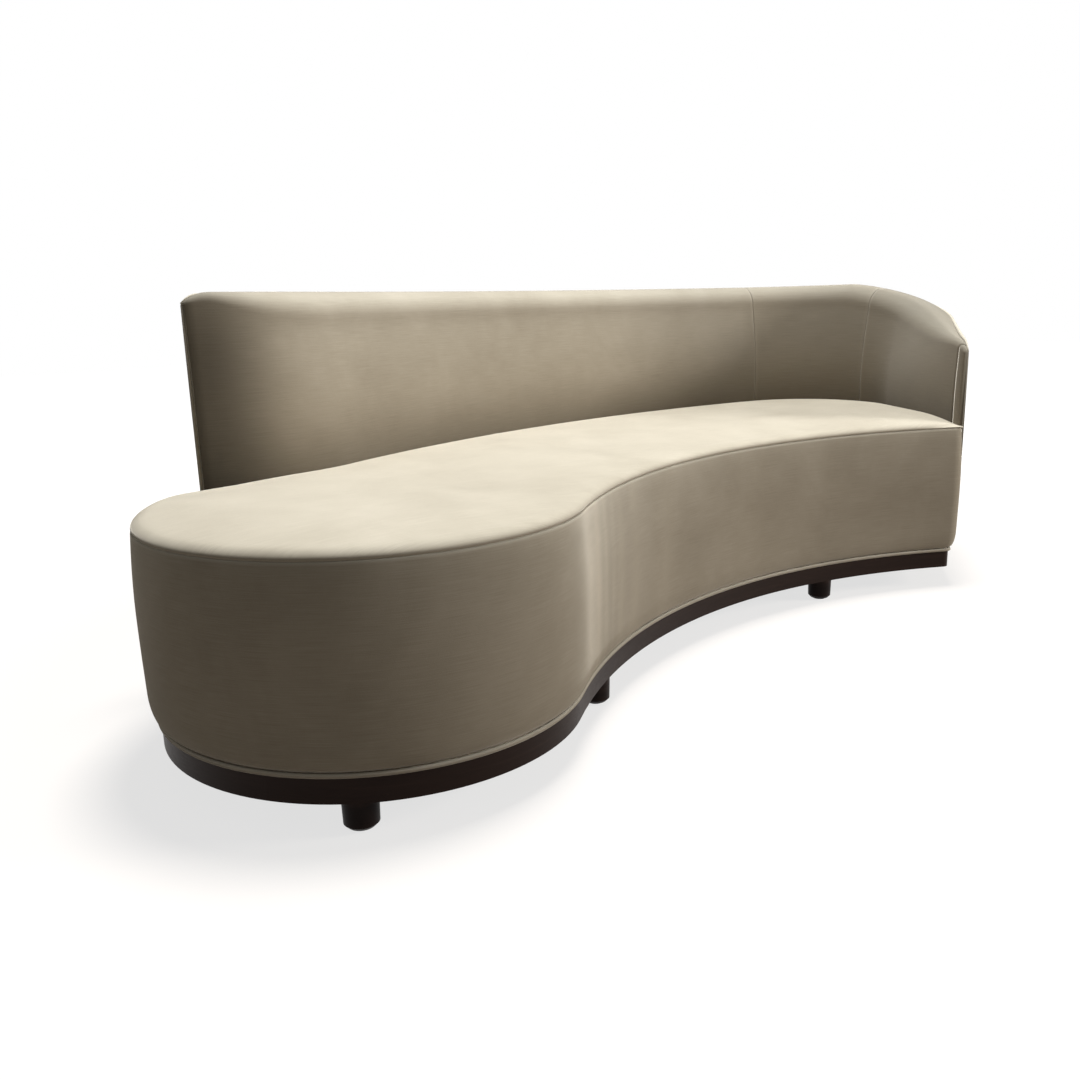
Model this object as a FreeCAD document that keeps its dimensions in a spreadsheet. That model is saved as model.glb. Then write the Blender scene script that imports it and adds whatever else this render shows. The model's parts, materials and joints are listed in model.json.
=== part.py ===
import FreeCAD, Part
import math
import os
from FreeCAD import Placement, Rotation, Vector
from Sketcher import Constraint

# A curved sofa: a kidney-shaped seat, a padded back that wraps round into one arm, and a dark wood plinth on legs.
# Lengths are millimetres and angles degrees. X runs along the sofa, Y from the seat's front to its back, Z up.
# The origin is on the floor, at the middle of the sofa's box.

SIZES = [
    ("overall_length", 2325, "left side of the lobe to right side of the wrapped back"),
    ("overall_depth", 1181, "front of the lobe to the rear of the back"),
    ("overall_height", 775, "floor to crest of the back"),
    ("lobe_radius", 380, "round left end of the seat"),
    ("hollow_radius", 1182, "hollow front edge"),
    ("back_radius", 2753, "outside of the long back"),
    ("wrap_radius", 256, "inside of the wrapped corner"),
    ("back_thickness", 137.5, "long back and corner, face to face"),
    ("arm_heading", 40.65, "degrees from the sofa's length to the outside of its arm"),
    ("corner_radius", 34, "right front corner, in plan"),
    ("hollow_start", 48.2, "degrees below the sofa's length where the lobe turns into the hollow"),
    ("end_setback", 29.5, "lobe's tangent point to the left end of the back"),
    ("end_round", 285, "length over which the left end of the back rounds off"),
    ("leg_height", 50, "floor to underside of the plinth"),
    ("plinth_height", 41, "plinth"),
    ("plinth_inset", 16, "upholstery to the plinth's face"),
    ("plinth_thickness", 20, "plinth's wall"),
    ("seat_edge_height", 419, "floor to the seat's edge"),
    ("seat_crown", 20, "rise of the seat from its edge to its middle"),
    ("crown_run", 160, "edge of the seat to the top of its crown"),
    ("crown_ease", 0.12, "the same run beside the back, as a share"),
    ("edge_radius", 20, "rounded edge of the seat"),
    ("edge_draw", 5, "the seat's edge behind the fullest line of the band"),
    ("draw_height", 140, "height over which the band draws in to the seat's edge"),
    ("band_thickness", 20, "fabric and padding on the band below the seat and on the outside of the back"),
    ("roll_height", 46, "height over which the band rolls in above the plinth"),
    ("welt_radius", 4, "piping"),
    ("pad_cover", 6, "inside back fabric and its wadding"),
    ("thin_limit", 60, "thickness of the back under which its layers thin out together"),
    ("back_lean", 22, "lean of the inside back"),
    ("back_swell", 7, "swell of the inside back between seat and shoulder"),
    ("shoulder_radius", 58, "padded shoulder of the back"),
    ("crest_fall", 16, "crest of the back to its outer edge"),
    ("seam_back", 75, "degrees round the corner of the seam between back and corner"),
    ("seam_arm", 0, "degrees round the corner of the seam between corner and arm"),
    ("fall_start", 16, "degrees round the corner where the top begins to fall"),
    ("arm_fall", 160, "drop of the top along the arm"),
    ("fall_curve", 1.3, "power by which the top falls, 1 for a straight fall"),
    ("arm_nose", 13, "rounding of the arm's front top corner"),
    ("end_nose", 26, "rounding of the back's left top corner"),
    ("end_tip", 8, "left end of the back to the end of its inside cover"),
    ("end_post_reach", 100, "left end of the back to the far side of its shaped post"),
    ("end_post_start", 14, "left end of the back to its shaped post"),
    ("front_post_span", 14, "degrees from the arm's front to its panel"),
    ("strip_span", 2.2, "degrees from the arm's front to the edge of the inside cover"),
    ("strip_clearance", 0.2, "degrees from that edge to the shaped post inside"),
    ("former_thickness", 18, "plywood formers"),
    ("former_width", 80, "seat former"),
    ("former_opening", 130, "edge of the seat's frame to the opening in the bottom former"),
    ("skin_thickness", 4, "bending plywood"),
    ("rail_bearing", 25, "end of a cross rail on the bottom former"),
    ("rail_thickness", 30, "back posts and top rail"),
    ("rail_height", 60, "top rail"),
    ("rail_drop", 35, "crest of the back to the top of its rail"),
    ("seat_rail_thickness", 25, "seat rail in front of the back posts"),
    ("seat_former_top", 310, "floor to the top of the seat former"),
    ("panel_thickness", 18, "plywood panel in the arm"),
    ("post_width", 60, "posts, along the sofa"),
    ("seat_post_depth", 40, "seat posts, across the rail"),
    ("web_width", 50, "webbing"),
    ("web_thickness", 1.5, "webbing"),
    ("web_pitch", 130, "webbing, strap to strap"),
    ("hessian_thickness", 0.8, "seat hessian and dust cover"),
    ("leg_top_radius", 28, "leg at the plinth"),
    ("leg_foot_radius", 27, "leg at its foot"),
    ("leg_ease", 6, "eased edge of the foot"),
    ("glide_height", 3, "nylon glide"),
    ("glide_radius", 15, "nylon glide"),
    ("bolt_radius", 4, "leg bolt"),
    ("bolt_depth", 28, "leg bolt in the leg"),
    ("sleeve_radius", 5.5, "threaded sleeve in the leg block"),
    ("sleeve_length", 12, "threaded sleeve in the leg block"),
    ("flange_radius", 7.5, "flange of the sleeve"),
    ("flange_thickness", 1.5, "flange of the sleeve"),
    ("block_width", 90, "leg block"),
    ("block_depth", 70, "leg block"),
    ("screw_radius", 2, "frame screw"),
    ("screw_head_radius", 4.5, "frame screw"),
    ("screw_head_height", 2, "frame screw"),
    ("screw_length", 45, "frame screw under its head"),
    ("fit_gap", 0.3, "clearance between neighbours"),
]

doc = FreeCAD.newDocument("CurvedSofa")
sheet = doc.addObject("Spreadsheet::Sheet", "Sizes")
for row, (alias, value, note) in enumerate(SIZES, start=1):
    sheet.set("A%d" % row, note)
    sheet.set("B%d" % row, str(value))
    sheet.setAlias("B%d" % row, alias)
doc.recompute()
nodes = []


def size(alias):
    return float(sheet.get(alias))


GAP = size("fit_gap")
UP = Vector(0, 0, 1)

# Heights of the layers, from the floor up

plinth_bottom = size("leg_height")
plinth_top = plinth_bottom + size("plinth_height")
former_top = plinth_top + size("former_thickness")
band_bottom = plinth_top + 2 * (size("welt_radius") + GAP)
welt_height = plinth_top + GAP + size("welt_radius")
seat_former_top = size("seat_former_top")
seat_former_bottom = seat_former_top - size("former_thickness")
deck_bottom = seat_former_top + 2 * size("web_thickness")
deck_top = deck_bottom + size("hessian_thickness")
band_top = size("seat_edge_height") - size("edge_radius")
seat_top = size("seat_edge_height") + size("seat_crown")
rail_top = size("overall_height") - size("rail_drop")
rail_bottom = rail_top - size("rail_height")

# Depths of the layers, from the outline inwards

skin_depth = size("band_thickness") + GAP
frame_depth = skin_depth + size("skin_thickness") + GAP
rail_front = frame_depth + size("rail_thickness")
seat_rail_front = rail_front + size("seat_rail_thickness")
web_back = rail_front + 3 * GAP
foam_back = web_back + size("web_thickness") + GAP
plinth_face = size("plinth_inset")
plinth_inside = plinth_face + size("plinth_thickness")
pad_edge = 2 * size("welt_radius") + GAP
pad_thickness = size("back_thickness") - pad_edge


# Plan geometry: a stretch of outline is an arc or a line, with the inside of the sofa on its left

def polar(centre, radius, angle):
    return centre + Vector(radius * math.cos(angle), radius * math.sin(angle), 0)


def bearing(centre, point):
    return math.atan2(point.y - centre.y, point.x - centre.x)


def arc(centre, radius, turn, halves=False):
    """turn is 1 for a stretch that runs counterclockwise and -1 for one that runs clockwise."""
    return {"centre": centre, "radius": radius, "turn": turn, "halves": halves}


def line(point, heading):
    return {"point": point, "heading": heading}


def eased(stretch, share):
    """The same stretch, which moves in by only a share of a depth."""
    return dict(stretch, share=share)


def inset(stretch, depth):
    depth *= stretch.get("share", 1)
    if "heading" in stretch:
        return dict(stretch, point=polar(stretch["point"], depth, stretch["heading"] + math.pi / 2))
    return dict(stretch, radius=stretch["radius"] - stretch["turn"] * depth)


def foot(stretch, point):
    """The point of a stretch that is nearest to a given point."""
    if "heading" in stretch:
        along = polar(Vector(), 1, stretch["heading"])
        return stretch["point"] + along * (point - stretch["point"]).dot(along)
    return polar(stretch["centre"], stretch["radius"], bearing(stretch["centre"], point))


def meet(first, second, near):
    """Where two stretches cross or touch, nearest to a given point."""
    if "heading" in first:
        first, second = second, first
    centre = first["centre"]
    if "heading" in second:
        base = foot(second, centre)
        along = polar(Vector(), 1, second["heading"])
    else:
        axis = second["centre"] - centre
        reach = axis.Length / 2 + (first["radius"] ** 2 - second["radius"] ** 2) / (2 * axis.Length)
        base = centre + axis * (reach / axis.Length)
        along = polar(Vector(), 1, math.atan2(axis.y, axis.x) + math.pi / 2)
    half = math.sqrt(max(0.0, first["radius"] ** 2 - (base - centre).Length ** 2))
    return min((base + along * half, base - along * half), key=lambda point: (point - near).Length)


def trace(path, depth):
    """The stretches of a path at a depth inside it, each with its two ends. A rounding that is used up drops out."""
    moved = [inset(stretch, depth) for stretch in path["stretches"]]
    kept = [i for i, stretch in enumerate(moved) if stretch.get("radius", 1) > 0.05]
    points = [meet(moved[a], moved[b], path["joints"][a]) for a, b in zip(kept, kept[1:])]
    if "start" in path:
        points = [foot(moved[kept[0]], path["start"])] + points + [foot(moved[kept[-1]], path["end"])]
    else:
        closing = meet(moved[kept[-1]], moved[kept[0]], path["joints"][-1])
        points = [closing] + points + [closing]
    return [(moved[k], points[i], points[i + 1]) for i, k in enumerate(kept)]


def sweep_angle(stretch, begin, end):
    """The signed angle of an arc from one of its points to another."""
    span = bearing(stretch["centre"], end) - bearing(stretch["centre"], begin)
    if stretch["turn"] > 0:
        return span % (2 * math.pi)
    return -((-span) % (2 * math.pi))


def lifted(point, height):
    return Vector(point.x, point.y, height)


def stretch_edges(stretch, begin, end, height):
    if (end - begin).Length < 1e-3:
        return []
    if "heading" in stretch:
        return [Part.LineSegment(lifted(begin, height), lifted(end, height)).toShape()]
    centre = stretch["centre"]
    first = bearing(centre, begin)
    span = sweep_angle(stretch, begin, end)
    steps = 4 if stretch["halves"] else 2
    points = [polar(centre, stretch["radius"], first + span * i / steps) for i in range(steps + 1)]
    points = [lifted(point, height) for point in [begin] + points[1:-1] + [end]]
    return [Part.Arc(*points[i:i + 3]).toShape() for i in range(0, steps, 2)]


def ring_wire(path, depth, height):
    edges = []
    for stretch, begin, end in trace(path, depth):
        edges += stretch_edges(stretch, begin, end, height)
    return Part.Wire(edges)


def strip_wire(path, outer, inner, height):
    """The closed outline of a strip that follows an open path between two depths."""
    outside = trace(path, outer)
    inside = trace(path, inner)
    edges = []
    for stretch, begin, end in outside:
        edges += stretch_edges(stretch, begin, end, height)
    back = []
    for stretch, begin, end in inside:
        back += stretch_edges(stretch, begin, end, height)
    far = Part.LineSegment(lifted(outside[-1][2], height), lifted(inside[-1][2], height)).toShape()
    near = Part.LineSegment(lifted(inside[0][1], height), lifted(outside[0][1], height)).toShape()
    return Part.Wire(edges + [far] + back[::-1] + [near])


def prism(wire, height):
    return Part.Face(wire).extrude(UP * height)


def strip(path, outer, inner, bottom, top):
    return prism(strip_wire(path, outer, inner, bottom), top - bottom)


def board(path, depth, bottom, top):
    return prism(ring_wire(path, depth, bottom), top - bottom)


def between(first, last, count):
    return [first + (last - first) * i / (count - 1) for i in range(count)]


# The outline: lobe, hollow, corner, arm side, wrapped corner and long back, each tangent to the next

half_length = size("overall_length") / 2
half_depth = size("overall_depth") / 2
lobe_centre = Vector(size("lobe_radius") - half_length, size("lobe_radius") - half_depth, 0)
outer_wrap = size("wrap_radius") + size("back_thickness")
back_level = half_depth - size("back_radius")
lobe_reach = size("back_radius") - size("lobe_radius")
wrap_reach = size("back_radius") - outer_wrap
back_centre = Vector(
    lobe_centre.x + math.sqrt(lobe_reach ** 2 - (lobe_centre.y - back_level) ** 2), back_level, 0)
wrap_x = half_length - outer_wrap
wrap_centre = Vector(
    wrap_x, back_level + math.sqrt(wrap_reach ** 2 - (wrap_x - back_centre.x) ** 2), 0)
hollow_centre = polar(
    lobe_centre, size("lobe_radius") + size("hollow_radius"), -math.radians(size("hollow_start")))
hollow = arc(hollow_centre, size("hollow_radius"), -1)
outer_heading = math.radians(size("arm_heading"))
outer_normal = outer_heading - math.pi / 2
arm_to_wrap = polar(wrap_centre, outer_wrap, outer_normal)
arm_side = line(arm_to_wrap, outer_heading)
corner = meet(hollow, arm_side, arm_to_wrap)


inner_heading = bearing(corner, wrap_centre) - math.asin(size("wrap_radius") / (wrap_centre - corner).Length)
inner_normal = inner_heading - math.pi / 2
wrap_angle = bearing(back_centre, wrap_centre)
lobe_angle = bearing(back_centre, lobe_centre)

lobe = arc(lobe_centre, size("lobe_radius"), 1, halves=True)
wrap = arc(wrap_centre, outer_wrap, 1, halves=True)
long_back = arc(back_centre, size("back_radius"), 1)
rounding = size("corner_radius")
corner_heart = meet(inset(hollow, rounding), inset(arm_side, rounding), corner)
corner_round = arc(corner_heart, rounding, 1)

lobe_to_hollow = polar(lobe_centre, size("lobe_radius"), bearing(lobe_centre, hollow_centre))
hollow_to_corner = foot(hollow, corner_heart)
corner_to_arm = foot(arm_side, corner_heart)
wrap_to_back = polar(back_centre, size("back_radius"), wrap_angle)
back_to_lobe = polar(back_centre, size("back_radius"), lobe_angle)
end_angle = lobe_angle - size("end_setback") / size("back_radius")
tip_start = end_angle - size("end_tip") / size("back_radius")
back_end = polar(back_centre, size("back_radius"), end_angle)
back_tip = polar(back_centre, size("back_radius"), tip_start)

outline = {
    "stretches": [hollow, corner_round, arm_side, wrap, long_back, lobe],
    "joints": [hollow_to_corner, corner_to_arm, arm_to_wrap, wrap_to_back, back_to_lobe, lobe_to_hollow]}
front_path = {
    "stretches": [long_back, lobe, hollow, corner_round],
    "joints": [back_to_lobe, lobe_to_hollow, hollow_to_corner],
    "start": back_tip, "end": corner_to_arm}


# Each stretch with its two ends, so that places on it are given as a share of its length

spans = {
    "lobe": (lobe, back_to_lobe, lobe_to_hollow),
    "hollow": (hollow, lobe_to_hollow, hollow_to_corner),
    "arm": (arm_side, corner_to_arm, arm_to_wrap),
    "wrap": (wrap, arm_to_wrap, wrap_to_back),
    "back": (long_back, wrap_to_back, back_to_lobe)}


def at_share(name, share):
    """The stretch of that name and the place on it at a share of its length."""
    stretch, begin, end = spans[name]
    if "heading" in stretch:
        return stretch, begin + (end - begin) * share
    turn = share * sweep_angle(stretch, begin, end)
    return stretch, polar(stretch["centre"], stretch["radius"], bearing(stretch["centre"], begin) + turn)


def rear_path(start, end):
    """The outside of the sofa from a place on the arm's side to one on the long back."""
    return {
        "stretches": [arm_side, wrap, long_back],
        "joints": [arm_to_wrap, wrap_to_back],
        "start": start, "end": end}


def along_arm(distance):
    return polar(corner_to_arm, distance, outer_heading)


def along_back(distance):
    """A place on the long back, measured from its left end."""
    return polar(back_centre, size("back_radius"), end_angle - distance / size("back_radius"))


# The face of the back, in plan: the line where seat and back meet

inner_radius = size("back_radius") - size("back_thickness")
end_turn = size("end_round") / size("back_radius")
end_radius = (inner_radius ** 2 + size("back_radius") ** 2
              - 2 * inner_radius * size("back_radius") * math.cos(end_turn)) / (
    2 * size("back_radius") * math.cos(end_turn) - 2 * inner_radius)
shoulder_angle = end_angle - end_turn
end_centre = polar(back_centre, inner_radius + end_radius, shoulder_angle)
arm_face = line(corner, inner_heading)
wrap_face = arc(wrap_centre, size("wrap_radius"), 1, halves=True)
back_face = arc(back_centre, inner_radius, 1)
end_face = arc(end_centre, end_radius, -1)
seat_corner = meet(end_face, lobe, back_end)


def seat_region(share):
    """The plan of the seat, which moves away from the back by only a share of its distance from the front."""
    return {
        "stretches": [hollow] + [eased(s, share) for s in (arm_face, wrap_face, back_face, end_face)] + [lobe],
        "joints": [corner, polar(wrap_centre, size("wrap_radius"), inner_normal),
                   polar(back_centre, inner_radius, wrap_angle),
                   polar(back_centre, inner_radius, shoulder_angle), seat_corner, lobe_to_hollow]}


# The seat's frame follows the outline, but keeps clear of the back's posts and rails

rear_margin = seat_rail_front + GAP - frame_depth
frame_region = {
    "stretches": [hollow, inset(arm_side, rear_margin), inset(wrap, rear_margin),
                  inset(long_back, rear_margin), lobe],
    "joints": [corner, arm_to_wrap, wrap_to_back, along_back(2 * size("post_width")), lobe_to_hollow]}


# Stations: upright planes through the back, each with its face radius, thickness and height

def station(centre, angle, face, outside, top):
    """Where the back gets thin, all the layers at its outside thin out with it, by the same squeeze."""
    total = outside - face
    squeeze = min(1.0, total / size("thin_limit"))
    return {"centre": centre, "angle": angle, "face": face, "total": total,
            "squeeze": squeeze, "slant": 1.0, "thick": total - pad_edge * squeeze, "top": top}


def back_station(angle):
    offset = angle - shoulder_angle
    face = inner_radius
    if offset > 0:
        reach = inner_radius + end_radius
        face = reach * math.cos(offset) - math.sqrt(end_radius ** 2 - (reach * math.sin(offset)) ** 2)
    distance = (end_angle - angle) * size("back_radius")
    nose = max(0.0, 1 - distance / (2 * size("end_nose")))
    top = size("overall_height") - size("end_nose") * nose ** 2
    return station(back_centre, angle, face, size("back_radius"), top)


nose_angle = bearing(wrap_centre, corner_to_arm)
fall_angle = math.radians(size("fall_start"))
seam_back = math.radians(size("seam_back"))
seam_arm = math.radians(size("seam_arm"))

# Every layer of the back is drawn through the same stations at its left end and round the bend to the arm

end_angles = between(tip_start, shoulder_angle, 12)
bend_angles = between(fall_angle, seam_arm, 5) + between(seam_arm, outer_normal, 14)[1:]
bend_angles += between(outer_normal, nose_angle, 8)[1:]


def through(common, begin, end):
    """The common angles between two angles, with those two at the ends."""
    return [begin] + [angle for angle in common if begin - 1e-6 > angle > end + 1e-6] + [end]


def top_at(angle):
    """Height of the crest round the wrapped corner and along the arm."""
    share = max(0.0, (fall_angle - angle) / (fall_angle - nose_angle))
    nose = max(0.0, 1 - (angle - nose_angle) * outer_wrap / (2 * size("arm_nose")))
    return size("overall_height") - size("arm_fall") * share ** size("fall_curve") - size("arm_nose") * nose ** 2


def past(radius, angle, normal):
    """Distance from the wrap's centre to a circle, or to the line that leaves it at a normal."""
    if angle < normal:
        return radius / math.cos(angle - normal)
    return radius


def wrap_station(angle):
    face = past(size("wrap_radius"), angle, inner_normal)
    outside = past(outer_wrap, angle, outer_normal)
    return dict(station(wrap_centre, angle, face, outside, top_at(angle)), slant=outside / outer_wrap)


def padded_face(station, depth):
    """Points up the padded face at a depth under the fabric, as (across, up): foot, swell, shoulder, crest, edge."""
    thick = station["thick"]
    share = thick / pad_thickness
    deep = depth * share
    lean = size("back_lean") * share
    shoulder = size("shoulder_radius") * share
    brow = station["top"] - shoulder
    crest = lean + shoulder
    run = thick - crest
    fall = size("crest_fall") * share
    crest_radius = (run ** 2 + fall ** 2) / (2 * fall)
    heart = station["top"] - crest_radius
    small = shoulder - deep
    slope = math.asin(run / (crest_radius - deep))
    return {
        "foot": (deep, seat_top),
        "swell": (lean / 2 - size("back_swell") * share + deep, (seat_top + brow) / 2),
        "brow": (lean + deep, brow),
        "shoulder": (crest - small * math.cos(math.pi / 4), brow + small * math.sin(math.pi / 4)),
        "crest": (crest, station["top"] - deep),
        "fall": (crest + (crest_radius - deep) * math.sin(slope / 2),
                 heart + (crest_radius - deep) * math.cos(slope / 2)),
        "edge": (thick, heart + (crest_radius - deep) * math.cos(slope)),
        "heart": (crest, heart, crest_radius - deep)}


def place(station, point):
    return lifted(polar(station["centre"], station["face"] + point[0], station["angle"]), point[1])


def section_wire(station, pieces):
    """A closed section from runs of two points, for a line, or three, for an arc."""
    edges = []
    for piece in pieces:
        points = [place(station, point) for point in piece]
        if len(points) == 2:
            edges.append(Part.LineSegment(*points).toShape())
        else:
            edges.append(Part.Arc(*points).toShape())
    return Part.Wire(edges)


back_low = deck_top + GAP


def cover_section(station):
    out = padded_face(station, 0)
    under = padded_face(station, size("pad_cover"))
    low = back_low
    return section_wire(station, [
        ((0, low), out["foot"]),
        (out["foot"], out["swell"], out["brow"]),
        (out["brow"], out["shoulder"], out["crest"]),
        (out["crest"], out["fall"], out["edge"]),
        (out["edge"], under["edge"]),
        (under["edge"], under["fall"], under["crest"]),
        (under["crest"], under["shoulder"], under["brow"]),
        (under["brow"], under["swell"], under["foot"]),
        (under["foot"], (under["foot"][0], low)),
        ((under["foot"][0], low), (0, low))])


def foam_section(depth):
    """A section maker for foam in front of a frame, and over it, with its rear face at a depth."""
    def section(station):
        under = padded_face(station, size("pad_cover") + GAP)
        rear = station["total"] - depth
        cap = station["total"] - frame_depth
        shelf = station["top"] - size("rail_drop") + GAP
        crest, heart, radius = under["heart"]
        half = (crest + cap) / 2
        fall = (half, heart + math.sqrt(radius ** 2 - (half - crest) ** 2))
        edge = (cap, heart + math.sqrt(radius ** 2 - (cap - crest) ** 2))
        return section_wire(station, [
            ((under["foot"][0], back_low), under["foot"]),
            (under["foot"], under["swell"], under["brow"]),
            (under["brow"], under["shoulder"], under["crest"]),
            (under["crest"], fall, edge),
            (edge, (cap, shelf)),
            ((cap, shelf), (rear, shelf)),
            ((rear, shelf), (rear, back_low)),
            ((rear, back_low), (under["foot"][0], back_low))])
    return section


def upright_section(inner, outer, bottom, top):
    """A section maker for an upright layer between two depths, with its top given by the station."""
    def section(station):
        near = station["total"] - inner * station["squeeze"]
        far = station["total"] - outer * station["squeeze"]
        height = top(station)
        return section_wire(station, [
            ((near, bottom), (near, height)), ((near, height), (far, height)),
            ((far, height), (far, bottom)), ((far, bottom), (near, bottom))])
    return section


def post_section(station):
    """A shaped post that fills the thin end of the back, between the covers."""
    across, top = padded_face(station, size("pad_cover") + GAP)["brow"]
    outer = station["total"] - frame_depth * station["squeeze"]
    return section_wire(station, [
        ((across, former_top), (across, top)), ((across, top), (outer, top)),
        ((outer, top), (outer, former_top)), ((outer, former_top), (across, former_top))])


def rim(station):
    """Height of the underside of the inside cover at its outer edge."""
    return padded_face(station, size("pad_cover"))["edge"][1]


def ruled(section, stations):
    return Part.makeLoft([section(station) for station in stations], True, True)


def turned(section, station, end):
    """A section turned about its centre from its own angle to another."""
    face = Part.Face(section(station))
    return face.revolve(station["centre"], UP, math.degrees(end - station["angle"]))


def joined(solids):
    return solids[0].multiFuse(solids[1:]).removeSplitter()


# Node makers

def curved_piece(label, shape):
    """A sub-part whose outline follows the sofa's own curves."""
    feature = doc.addObject("Part::Feature", label)
    feature.Label = label
    feature.Shape = shape
    feature.Placement = Placement()
    nodes.append(feature)
    return feature


def group(label, members):
    """Identical pieces that share one node as separate solids."""
    compound = doc.addObject("Part::Compound", label)
    compound.Label = label
    compound.Links = members
    nodes.append(compound)
    return compound


def primitive(kind, name, sizes, position, turn=0.0):
    item = doc.addObject(kind, name)
    for key, expression in sizes.items():
        item.setExpression(key, expression)
    item.Placement = Placement(position, Rotation(UP, math.degrees(turn)))
    return item


def box(name, sizes, middle, turn, bottom):
    """A box bound to the sheet, standing centred on a place in plan. sizes are expressions along, across and up."""
    item = primitive("Part::Box", name, dict(zip(("Length", "Width", "Height"), sizes)), Vector())
    doc.recompute()
    shift = Rotation(UP, math.degrees(turn)).multVec(Vector(item.Length.Value / 2, item.Width.Value / 2, 0))
    item.Placement = Placement(lifted(middle, bottom) - shift, Rotation(UP, math.degrees(turn)))
    return item


# Places of the legs: each one's stretch of the outline and its share along it

leg_inset = plinth_face + size("leg_top_radius") + GAP
leg_places = [
    ("leg_lobe", "lobe", 0.613), ("leg_hollow", "hollow", 0.137), ("leg_front", "hollow", 0.754),
    ("leg_arm", "arm", 0.6), ("leg_back_right", "wrap", 0.739),
    ("leg_back_middle", "back", 0.3), ("leg_back_left", "back", 0.756)]


def normal_at(stretch, point):
    """Direction from the outline to the inside of the sofa."""
    if "heading" in stretch:
        return stretch["heading"] + math.pi / 2
    inward = bearing(stretch["centre"], point)
    if stretch["turn"] > 0:
        inward += math.pi
    return inward


def inside_point(stretch, point, depth):
    return polar(point, depth, normal_at(stretch, point))


def leg_body(label, place_in_plan):
    """A turned wood leg with an eased foot and a bolt hole in its top."""
    body = doc.addObject("PartDesign::Body", label)
    body.Label = label
    sketch = body.newObject("Sketcher::SketchObject", label + "_profile")
    plane = [item for item in body.Origin.OriginFeatures if item.Role == "XZ_Plane"][0]
    sketch.AttachmentSupport = (plane, "")
    sketch.MapMode = "FlatFace"
    corners = [
        ("0", "0"),
        ("Sizes.leg_foot_radius - Sizes.leg_ease", "0"),
        ("Sizes.leg_foot_radius", "Sizes.leg_ease"),
        ("Sizes.leg_top_radius", "Sizes.leg_height - Sizes.glide_height"),
        ("Sizes.bolt_radius + Sizes.fit_gap", "Sizes.leg_height - Sizes.glide_height"),
        ("Sizes.bolt_radius + Sizes.fit_gap", "Sizes.leg_height - Sizes.glide_height - Sizes.bolt_depth"),
        ("0", "Sizes.leg_height - Sizes.glide_height - Sizes.bolt_depth"),
    ]
    rough = [(0, 0), (20, 0), (30, 6), (32, 47), (4, 47), (4, 19), (0, 19)]
    for i, (x, y) in enumerate(rough):
        x_next, y_next = rough[(i + 1) % len(rough)]
        sketch.addGeometry(Part.LineSegment(Vector(x, y, 0), Vector(x_next, y_next, 0)), False)
    for i in range(len(rough)):
        sketch.addConstraint(Constraint("Coincident", i, 2, (i + 1) % len(rough), 1))
    for i, (across, up) in enumerate(corners):
        for kind, expression, value in (("DistanceX", across, rough[i][0]), ("DistanceY", up, rough[i][1])):
            if expression == "0":
                axis = -2 if kind == "DistanceX" else -1
                sketch.addConstraint(Constraint("PointOnObject", i, 1, axis))
                continue
            index = sketch.addConstraint(Constraint(kind, -1, 1, i, 1, float(value)))
            sketch.setExpression("Constraints[%d]" % index, expression)
    doc.recompute()
    turning = body.newObject("PartDesign::Revolution", label + "_turning")
    turning.Profile = sketch
    turning.ReferenceAxis = (sketch, ["V_Axis"])
    turning.Angle = 360.0
    body.Tip = turning
    body.Placement = Placement(lifted(place_in_plan, size("glide_height")), Rotation())
    doc.recompute()
    nodes.append(body)


def cylinder(name, radius, height, middle, bottom):
    return primitive("Part::Cylinder", name, {"Radius": radius, "Height": height}, lifted(middle, bottom))


# Legs, their glides, bolts, sleeves and blocks

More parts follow.
